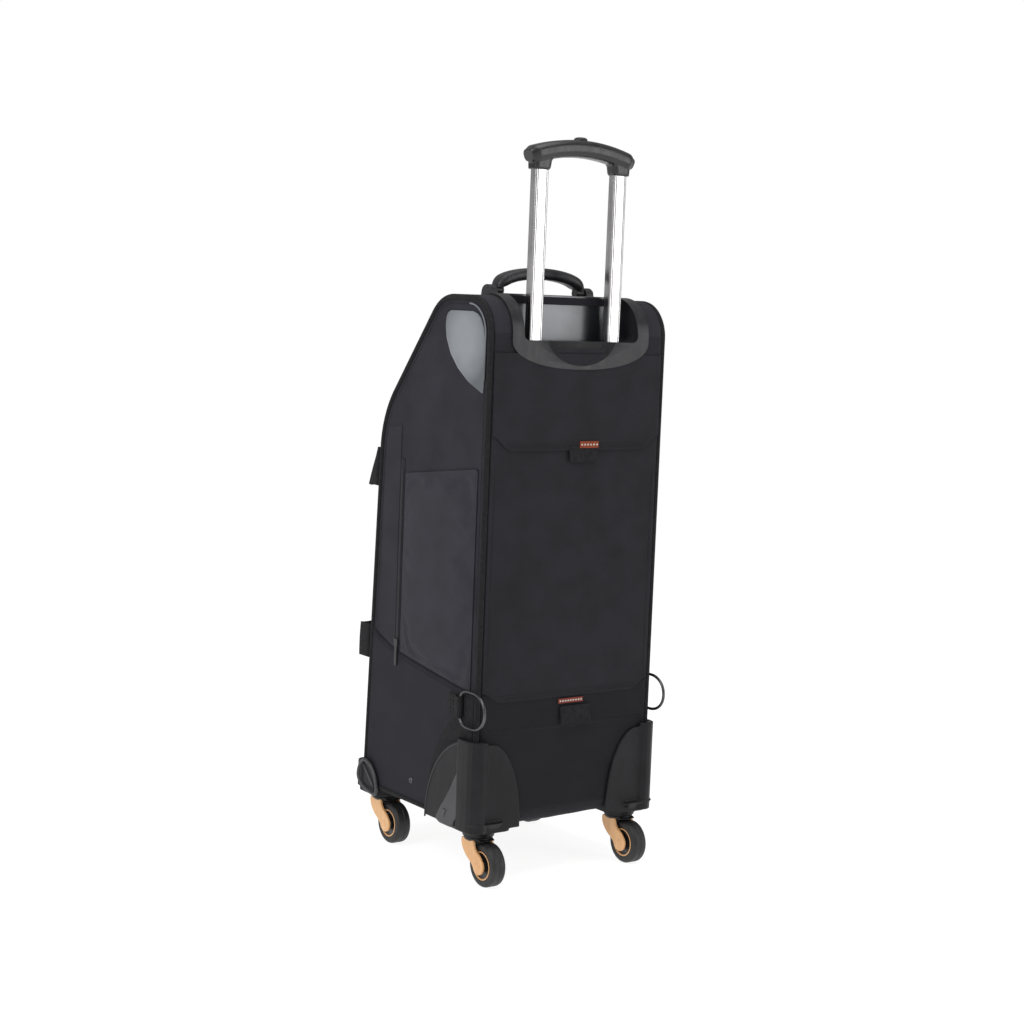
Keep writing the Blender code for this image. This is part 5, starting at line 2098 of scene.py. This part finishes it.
@dataclass
class TrolleyHandle:
    """The pull handle: two bright tubes, an arched grip, its button and the release bar."""

    tube_x: float = 0.0645
    tube_y: float = 0.122
    low: float = 0.63
    high: float = 0.957
    half: float = 0.0838
    top: float = 0.985
    leg_low: float = 0.942

    def centreline(self, x: float) -> float:
        """The height of the grip bar's middle at x."""
        return self.top - 0.0125 - 0.014 * (x / self.half) ** 2

    def tube_outline(self, x: float) -> Outline:
        """A tube's section at x: a soft rectangle with two fine grooves along its rear face."""
        outline = []
        for a, b in soft_rectangle(0.021, 0.013, 0.002, 5):
            outline.append((x + a, self.tube_y + b))
            if len(outline) == 6:
                for groove in (0.0068, -0.0068):
                    outline += [(x + groove + c, self.tube_y + 0.0065 - d) for c, d in ((0.0009, 0.0), (0.0, 0.0009), (-0.0009, 0.0))]
        return outline

    def tubes(self, finishes: Finishes) -> None:
        """The two moving tubes and the two outer sleeves."""
        for side in Side:
            x = side.value * self.tube_x
            outline = self.tube_outline(x)
            tube = upright_solid(f"tube_{side.word}", outline, self.low, self.high, finishes.of("tube_metal"), 0.0004)
            settle(tube, "trolley", "bright_aluminium", f"inner_tube_{side.word}")
            sleeve = refined_copy(f"sleeve_{side.word}", f"outer_tube_{side.word}", finishes.of("dark_metal"), 0.0006)
            settle(sleeve, "bag", "dark_metal", f"outer_tube_{side.word}")

    def grip(self, finishes: Finishes) -> None:
        """The grip: an arched bar with a round well for the button, and two flared legs with sockets for the tubes."""
        plastic = finishes.of("grip_plastic")
        xs = even(-self.half, self.half, 56)
        path = [(x, self.tube_y, self.centreline(x)) for x in xs]

        def section(share: float) -> Outline:
            """Slimmer towards both ends."""
            end = ease(min(share, 1 - share) / 0.06)
            size = 0.7 + 0.3 * end
            return soft_rectangle(0.0295 * size, 0.0228 * size, 0.0095 * size, 6)

        bar = swept("grip_bar", path, section, (0, 1, 0), plastic)
        pieces = [bar]
        for sign in (-1, 1):
            x = sign * self.tube_x
            rings = []
            for z, wide, deep in ((self.leg_low, 0.0255, 0.0195), (0.9445, 0.027, 0.021), (0.954, 0.0282, 0.0222), (0.959, 0.033, 0.023), (0.9625, 0.042, 0.0235), (0.965, 0.052, 0.0235)):
                rings.append([(a, b, z) for a, b in soft_rectangle(wide, deep, 0.006, 5, (x - sign * (wide - 0.0282) * 0.5, self.tube_y))])
            pieces.append(lofted(f"grip_leg_{sign}", rings, plastic))
        body = melted("grip_body", pieces, plastic, 0.0008, 5)
        well = turned("grip_well", [(0.0001, 0.9628), (0.0098, 0.9628), (0.0098, 1.0000), (0.0001, 1.0000)], (0, self.tube_y, 0), plastic, 48, upright=True)
        carved(body, well)
        for sign in (-1, 1):
            hole = soft_rectangle(0.0216, 0.0136, 0.0023, 5, (sign * self.tube_x, self.tube_y))
            carved(body, upright_solid("grip_socket", hole, 0.93, 0.962, plastic))
        body.data.shade_smooth()
        body.data.set_sharp_from_angle(angle=math.radians(45))
        settle(body, "trolley", "black_plastic", "trolley_grip")

    def release(self, finishes: Finishes) -> None:
        """The domed button, and the bar and rods that it pushes."""
        profile = [(0.0001, 0.9676), (0.009, 0.9676), (0.009, 0.985), (0.0084, 0.9862), (0.0066, 0.9872), (0.004, 0.9878), (0.0001, 0.988)]
        button = turned("release_button", profile, (0, self.tube_y, 0), finishes.of("trim_plastic"), 48, upright=True)
        settle(button, "release", "black_plastic", "push_button")
        bar = refined_copy("release_rods", "release_bar", finishes.of("dark_metal"), 0.0003)
        settle(bar, "release", "dark_metal", "release_bar")

    def build(self, finishes: Finishes) -> None:
        """Builds the pull handle."""
        self.tubes(finishes)
        self.grip(finishes)
        self.release(finishes)


# ---------------------------------------------------------------- guards and casters
@dataclass
class CornerGuards:
    """The moulded guards over the four lower corners, one piece with the caster cups."""

    inner_x: float = 0.1462
    outer_x: float = 0.1503
    inner_y: float = 0.1412
    outer_y: float = 0.1455
    cup_x: float = 0.119
    cup_y: float = 0.117
    hem: float = 0.0755

    def cup(self, y: float, finishes: Finishes) -> Piece:
        """The round cup over a caster."""
        profile = [(0.0001, 0.064), (0.0205, 0.064), (0.0212, 0.065), (0.0225, 0.077), (0.0001, 0.077)]
        return turned("guard_cup", profile, (self.cup_x, y, 0), finishes.of("trim_plastic"), 48, upright=True)

    def rear(self, finishes: Finishes) -> SideSet:
        """A guard round a rear corner: arched wings, a corner pillar and a flare above the caster; the flare and the
        emboss are paler as painted light.
        """
        dark, pale = finishes.of("guard_plastic"), finishes.of("rim_plastic")
        arch = [(0.135 - 0.104 * math.cos(math.pi / 2 * k / 24), self.hem + 0.1215 * math.sin(math.pi / 2 * k / 24)) for k in range(25)]
        side = sideways_solid("guard_side", [*arch, (0.1435, 0.197), (0.1435, self.hem)], self.inner_x, self.outer_x, dark)
        wing = [(0.122 - 0.05 * math.cos(math.pi / 2 * k / 20), self.hem + 0.1165 * math.sin(math.pi / 2 * k / 20)) for k in range(21)]
        back = facing_solid("guard_back", [*wing, (0.148, 0.192), (0.148, self.hem)], self.inner_y, self.outer_y, dark)
        corner = [(0.1462, 0.106), (0.1515, 0.108), (0.154, 0.113), (0.1542, 0.124), (0.1538, 0.136), (0.152, 0.144)]
        corner += [(0.148, 0.149), (0.142, 0.1525), (0.136, 0.153), (0.131, 0.15), (0.128, 0.1462), (0.128, 0.1412), (0.1462, 0.1412)]
        pillar = upright_solid("guard_pillar", corner, 0.0745, 0.1975, dark)
        rings = []
        for k in range(9):
            share = ease(k / 8) ** 0.7
            wide, deep = 0.0535 + (0.0424 - 0.0535) * share, 0.055 + (0.0424 - 0.055) * share
            middle = (0.1265 + (self.cup_x - 0.1265) * share, 0.1255 + (self.cup_y - 0.1255) * share)
            rings.append([(a, b, 0.087 - 0.023 * k / 8) for a, b in soft_rectangle(wide, deep, 0.01 + 0.011 * share, 6, middle)])
        column = lofted("guard_column", rings, dark)
        sole = upright_solid("guard_sole", soft_rectangle(0.064, 0.09, 0.01, 5, (0.116, 0.1)), 0.0715, 0.0785, dark)
        moulding = melted("guard_moulding_left", [side, back, pillar, column, sole], dark, 0.001, 5)

        def flare_place(a: float, b: float, h: float) -> Point:
            """The flare stands out more towards the floor."""
            return (self.inner_x + 0.001 if h == 0 else self.outer_x + 0.0012 + 0.0034 * (0.15 - b) / 0.075, a, b)

        # The flare takes the paler plastic: painted light where it faces the lamps.
        flare_outline = [(0.064, 0.0745), (0.069, 0.089), (0.085, 0.111), (0.099, 0.133), (0.107, 0.15), (0.114, 0.149), (0.115, 0.0745)]
        flare_outline = eased_loop(flare_outline, 1)
        flare = melted("guard_flare", [outline_solid("flare", flare_outline, flare_place, 0.0, 1.0, pale)], pale, 0.0008, 6)
        rim_path = [(self.outer_x - 0.0002, y + 0.0022, z - 0.0026) for y, z in arch[:-2]]
        rim = swept("guard_rim", rim_path, lambda share: round_outline(0.0012, 10), (1, 0, 0), finishes.of("trim_plastic"))
        # The small raised emboss is pale as a painted highlight.
        inset = outline_solid(
            "guard_emboss", soft_rectangle(0.009, 0.012, 0.002, 4, (0.083, 0.09)), lambda a, b, h: (h, a + 0.4 * (b - 0.09), b), 0.15, 0.1552, pale, 0.0006
        )
        moulding = joined("guard_moulding_left", [moulding, flare])
        return [(joined("rear_corner_guard_left", [moulding, rim, inset]), "bag", "black_plastic", ("rear_guard_left",))]

    def front(self, finishes: Finishes) -> SideSet:
        """A kick guard round a front corner: an oval rim with a cross rib, and a nose; the rim and the rib are paler as
        a painted highlight.
        """
        dark, pale = finishes.of("guard_plastic"), finishes.of("rim_plastic")
        outline = [(-0.092, 0.076), (-0.0965, 0.096), (-0.11, 0.112), (-0.129, 0.119), (-0.14, 0.112)]
        outline += [(-0.1475, 0.098), (-0.1475, 0.086), (-0.135, 0.0765), (-0.112, 0.07), (-0.096, 0.069)]
        oval = eased_loop(outline, 3)
        side = sideways_solid("kick_side", oval, self.inner_x, self.outer_x - 0.002, dark)
        wing = [(0.108, 0.075), (0.108, 0.088), (0.115, 0.103), (0.128, 0.111), (0.1495, 0.113), (0.1495, 0.075)]
        front = facing_solid("kick_front", wing, -0.1468, -0.1412, dark)
        nose = [(0.1462, -0.133), (0.15, -0.1345), (0.1505, -0.14), (0.149, -0.1445), (0.144, -0.1475), (0.135, -0.1478), (0.135, -0.1412), (0.1462, -0.1412)]
        pillar = upright_solid("kick_nose", nose, 0.078, 0.114, dark)
        sole = upright_solid("kick_sole", soft_rectangle(0.058, 0.048, 0.008, 5, (0.1205, -0.121)), 0.069, 0.0775, dark)
        moulding = melted("kick_moulding_left", [side, front, pillar, sole, self.cup(-self.cup_y, finishes)], dark, 0.001, 5)
        middle = (sum(p[0] for p in oval) / len(oval), sum(p[1] for p in oval) / len(oval))
        loop = [(self.outer_x - 0.0012, middle[0] + (y - middle[0]) * 0.92, middle[1] + (z - middle[1]) * 0.92) for y, z in oval]
        rim = swept("kick_rim", loop, lambda share: round_outline(0.0026, 12), (1, 0, 0), pale, closed=True)
        line = [(self.outer_x - 0.0018, -0.104 - 0.03 * k / 6, 0.08 + 0.029 * k / 6) for k in range(7)]
        rib = swept("kick_rib", line, lambda share: round_outline(0.0017, 8), (1, 0, 0), pale)
        return [(joined("front_corner_guard_left", [moulding, rim, rib]), "bag", "black_plastic", ("front_guard_left",))]

    def build(self, finishes: Finishes) -> None:
        """Builds the four guards."""
        settle_both(self.rear(finishes))
        settle_both(self.front(finishes))


@dataclass
class Caster:
    """One swivel caster: crown, two teardrop arms, hub and tyre."""

    side: Side
    row: Row
    x: float = 0.119
    y: float = 0.117
    trail: float = 0.024
    radius: float = 0.029
    width: float = 0.022

    def neck(self) -> tuple[float, float]:
        """The swivel axis (x, y)."""
        return self.side.value * self.x, self.row.value * self.y

    def swivel(self, finishes: Finishes) -> None:
        """The black crown with its hood, and the gold arms."""
        x, y = self.neck()
        place = f"{self.row.word}_{self.side.word}"
        body = f"swivel_{place}"
        plastic, gold = finishes.of("trim_plastic"), finishes.of("gold_plastic")
        axle = (y + self.trail, self.radius)
        profile = [(0.0001, 0.056), (0.015, 0.057), (0.0185, 0.0595), (0.0195, 0.061), (0.0192, 0.063), (0.0001, 0.0632)]
        crown = turned("crown", profile, (x, y, 0), plastic, 48, upright=True)
        hood_line = [(y - 0.014, 0.0625), (y - 0.015, 0.054)]
        for k in range(10):
            turn = math.radians(168 - 8.5 * k)
            hood_line.append((axle[0] + 0.0312 * math.cos(turn), axle[1] + 0.0312 * math.sin(turn)))
        hood_line += [(y + 0.0185, 0.0625)]
        hood = sideways_solid("hood", hood_line, x - 0.0118, x + 0.0118, plastic, 0.001)
        bolt = turned("axle_bolt", [(0.0001, -0.0173), (0.0036, -0.0173), (0.0042, -0.0167), (0.0042, 0.0167), (0.0036, 0.0173), (0.0001, 0.0173)], (x, *axle), gold, 28)
        settle(joined(f"caster_crown_{place}", [crown, hood, bolt]), body, "black_plastic")
        arms = []
        for sign in (-1, 1):
            outline = [(y - 0.0145, 0.0622), (y - 0.0165, 0.056), (y - 0.014, 0.047), (y - 0.005, 0.0375), (y + 0.0065, 0.031)]
            for k in range(11):
                turn = math.radians(195 + 200 * k / 10)
                outline.append((axle[0] + 0.0118 * math.cos(turn), axle[1] + 0.0118 * math.sin(turn)))
            outline += [(y + 0.0265, 0.0435), (y + 0.017, 0.049), (y + 0.0125, 0.056), (y + 0.0125, 0.0622)]
            ends = sorted((x + sign * 0.0127, x + sign * 0.0167))
            arms.append(sideways_solid(f"arm_{sign}", eased_loop(outline, 2), *ends, gold, 0.0014))
        settle(joined(f"caster_arms_{place}", arms), body, "gold_plastic", f"fork_{place}")

    def wheel(self, finishes: Finishes) -> None:
        """The hub with its thin gold rings, and the tyre."""
        x, y = self.neck()
        place = f"{self.row.word}_{self.side.word}"
        centre = (x, y + self.trail, self.radius)
        hub_line = [(0.004, -0.0108), (0.0072, -0.0108), (0.0078, -0.01), (0.008, -0.0086), (0.011, -0.008), (0.015, -0.0084), (0.0181, -0.0094)]
        hub_line += [(r, -a) for r, a in reversed(hub_line)]
        hub = turned("hub", hub_line, centre, finishes.of("grip_plastic"), 72)
        rings = []
        for sign in (-1, 1):
            line = [(0.0172, sign * 0.009), (0.0176, sign * 0.0107), (0.0184, sign * 0.0111), (0.0192, sign * 0.0107), (0.0192, sign * 0.009)]
            rings.append(turned(f"hub_ring_{sign}", line, centre, finishes.of("gold_plastic"), 96))
        settle(joined(f"caster_hub_{place}", [hub, *rings]), f"wheel_{place}", "hub_plastic", f"wheel_hub_{place}")
        half, r = self.width / 2, self.radius
        tyre_line = [(0.0182, -half + 0.0012), (0.0193, -half + 0.0004), (0.0215, -half), (0.024, -half + 0.0003)]
        for k in range(1, 7):
            turn = math.pi / 2 * k / 6
            tyre_line.append((r - 0.0046 + 0.0046 * math.sin(turn), -half + 0.0048 - 0.0046 * math.cos(turn)))
        tyre_line += [(r, -0.0012), (r - 0.0006, -0.0006)]
        tyre_line += [(q, -a) for q, a in reversed(tyre_line)]
        tyre = turned(f"caster_tyre_{place}", tyre_line, centre, finishes.of("tyre"), 96)
        settle(tyre, f"wheel_{place}", "tyre_rubber", f"tyre_{place}")

    def build(self, finishes: Finishes) -> None:
        """Builds the caster."""
        self.swivel(finishes)
        self.wheel(finishes)


# ---------------------------------------------------------------- inside
@dataclass
class Interior:
    """The padded inside: boards, shelves and ball pads."""

    half: float = 0.125
    hole: float = 0.06

    def pad(self, node: str, finishes: Finishes) -> None:
        """A ring-shaped ball pad, swollen by simulation.

        Args:
            node: the CAD pad that it stands for.
            finishes: the bag's finishes.
        """
        low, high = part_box(node)
        middle = (low + high) / 2
        wide, deep, tall = (high - low) / 2
        around, section = 112, 20
        points, cloth = [], []
        for k in range(around):
            turn = 2 * math.pi * k / around
            a, b = math.cos(turn), math.sin(turn)
            reach = 1.0 / (abs(a / wide) ** 9 + abs(b / deep) ** 9) ** (1 / 9)
            for m in range(section):
                phase = 2 * math.pi * m / section
                across, up = math.cos(phase), math.sin(phase)
                share = 0.5 + 0.5 * math.copysign(abs(across) ** 0.55, across)
                radius = self.hole + (reach - self.hole) * share
                rise = math.copysign(abs(up) ** 0.55, up) * (tall - 0.0012)
                points.append((middle.x + a * radius, middle.y + b * radius, middle.z + rise))
                cloth.append((turn * 0.09, phase * 0.02))
        faces = [
            (k * section + m, k * section + (m + 1) % section, (k + 1) % around * section + (m + 1) % section, (k + 1) % around * section + m)
            for k in range(around)
            for m in range(section)
        ]
        piece = surface(node.replace("ball_pad", "ball_cushion"), points, faces, finishes.of("lining"), cloth)
        inflate(piece, 3.0, 0.0035, lambda p: p.z < low.z + 0.004, 0.02)
        piece["fill"] = 0.6
        settle(piece, "bag", "foam", node)

    def shelf(self, node: str, finishes: Finishes) -> None:
        """A lined shelf with a soft crown."""
        low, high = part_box(node)

        def place(u: float, v: float, lift: float) -> Vector:
            """A point of the shelf."""
            return Vector((low.x + (high.x - low.x) * u, low.y + (high.y - low.y) * v, low.z + 0.0008 + lift))

        def depth(u: float, v: float) -> float:
            """The shelf's thickness."""
            edge = min(u * (high.x - low.x), (1 - u) * (high.x - low.x), v * (high.y - low.y), (1 - v) * (high.y - low.y))
            return 0.001 + 0.0028 * ease(edge / 0.006) + 0.0003 * fold_noise(u * 0.25, v * 0.22, 11.0)

        piece = pouch(node.replace("shelf", "lined_shelf"), place, (48, 42), depth, finishes.of("lining"))
        inflate(piece, 1.0, 0.0015, lambda p: p.z < low.z + 0.0016, 0.01)
        piece["fill"] = 0.2
        settle(piece, "bag", "foam", node)

    def build(self, finishes: Finishes) -> None:
        """Builds the inside."""
        for node in ("ball_pad_lower", "ball_pad_upper"):
            self.pad(node, finishes)
        for node in ("shelf_lower", "shelf_upper"):
            self.shelf(node, finishes)
        settle(refined_copy("stiff_base", "base_board", finishes.of("board"), 0.0012), "bag", "board_plastic", "base_board")
        settle(refined_copy("stiff_back", "liner_board", finishes.of("board"), 0.0008), "bag", "board_plastic", "liner_board")


# ---------------------------------------------------------------- studio
@dataclass
class Studio:
    """The pale backdrop, soft lights and the camera."""

    eye: tuple[float, float, float] = (1.548, 2.164, 0.775)
    yaw: float = -0.6208
    pitch: float = -0.1107
    roll: float = 0.0385
    lens: float = 67.58
    ambient: float = 0.4

    def camera(self) -> Piece:
        """The camera at the viewing angle."""
        data = bpy.data.cameras.new("view")
        data.lens, data.sensor_width = self.lens, 36.0
        data.clip_start, data.clip_end = 0.1, 50.0
        look = Vector((math.sin(self.yaw) * math.cos(self.pitch), -math.cos(self.yaw) * math.cos(self.pitch), math.sin(self.pitch)))
        right = look.cross(Vector((0, 0, 1))).normalized()
        up = right.cross(look)
        across = right * math.cos(self.roll) + up * math.sin(self.roll)
        above = up * math.cos(self.roll) - right * math.sin(self.roll)
        turn = Matrix((across, above, -look)).transposed().to_4x4()
        camera = bpy.data.objects.new("view", data)
        bpy.context.scene.collection.objects.link(camera)
        camera.matrix_world = Matrix.Translation(self.eye) @ turn
        bpy.context.scene.camera = camera
        return camera

    def lamp(self, name: str, place: Point, aim: Point, size: tuple[float, float], power: float) -> Piece:
        """A soft rectangular light aimed at a point."""
        data = bpy.data.lights.new(name, "AREA")
        data.shape, data.size, data.size_y, data.energy = "RECTANGLE", *size, power
        lamp = bpy.data.objects.new(name, data)
        bpy.context.scene.collection.objects.link(lamp)
        way = (Vector(aim) - Vector(place)).normalized()
        lamp.matrix_world = Matrix.Translation(place) @ way.to_track_quat("-Z", "Y").to_matrix().to_4x4()
        return lamp

    def floor(self) -> Piece:
        """A wide pale floor."""
        bench = NodeBench("backdrop")
        bench.set(Base_Color=(0.29, 0.29, 0.29, 1.0), Roughness=0.9, Specular_IOR_Level=0.0)
        bench.set(Emission_Color=(1.0, 1.0, 1.0, 1.0), Emission_Strength=0.885)
        points = [(-30, -30, 0), (30, -30, 0), (30, 30, 0), (-30, 30, 0)]
        return surface("floor", points, [(0, 1, 2, 3)], bench.material, closed=False, outward=(0, 0, 1))

    def build(self) -> None:
        """Builds the studio."""
        world = bpy.data.worlds.new("studio")
        world.use_nodes = True
        tree = world.node_tree
        seen, light = tree.nodes["Background"], tree.nodes.new("ShaderNodeBackground")
        seen.inputs["Color"].default_value = light.inputs["Color"].default_value = (1.0, 1.0, 1.0, 1.0)
        seen.inputs["Strength"].default_value, light.inputs["Strength"].default_value = 1.0, self.ambient
        path, choice = tree.nodes.new("ShaderNodeLightPath"), tree.nodes.new("ShaderNodeMixShader")
        tree.links.new(path.outputs["Is Camera Ray"], choice.inputs[0])
        tree.links.new(light.outputs[0], choice.inputs[1])
        tree.links.new(seen.outputs[0], choice.inputs[2])
        tree.links.new(choice.outputs[0], tree.nodes["World Output"].inputs["Surface"])
        scene = bpy.context.scene
        scene.world = world
        scene.view_settings.view_transform = "Standard"
        lamps = [
            self.lamp("key", (2.4, 0.6, 1.9), (0.0, 0.0, 0.5), (1.4, 1.6), 34.0),
            self.lamp("fill", (-1.8, 2.7, 1.3), (0.0, 0.0, 0.6), (1.0, 2.0), 22.0),
            self.lamp("overhead", (0.0, 0.5, 2.8), (0.0, 0.0, 0.6), (1.8, 1.8), 26.0),
        ]
        self.floor()
        self.camera()


def main() -> None:
    """Builds the bag in order."""
    logging.basicConfig(level=logging.INFO, format="%(message)s")
    finishes = Finishes()
    casters = [Caster(side, row) for side in Side for row in Row]
    assemblies = (
        SideCovers(), BackCovers(), FrontDoor(), WebLoops(), RingsAndTabs(), CarryHandle(),
        TrolleyTray(), TrolleyHandle(), CornerGuards(), *casters, Interior(),
    )
    for assembly in assemblies:
        assembly.build(finishes)
        LOG.info("%s done", type(assembly).__name__)
    Studio().build()
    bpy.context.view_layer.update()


if __name__ == "__main__":
    main()
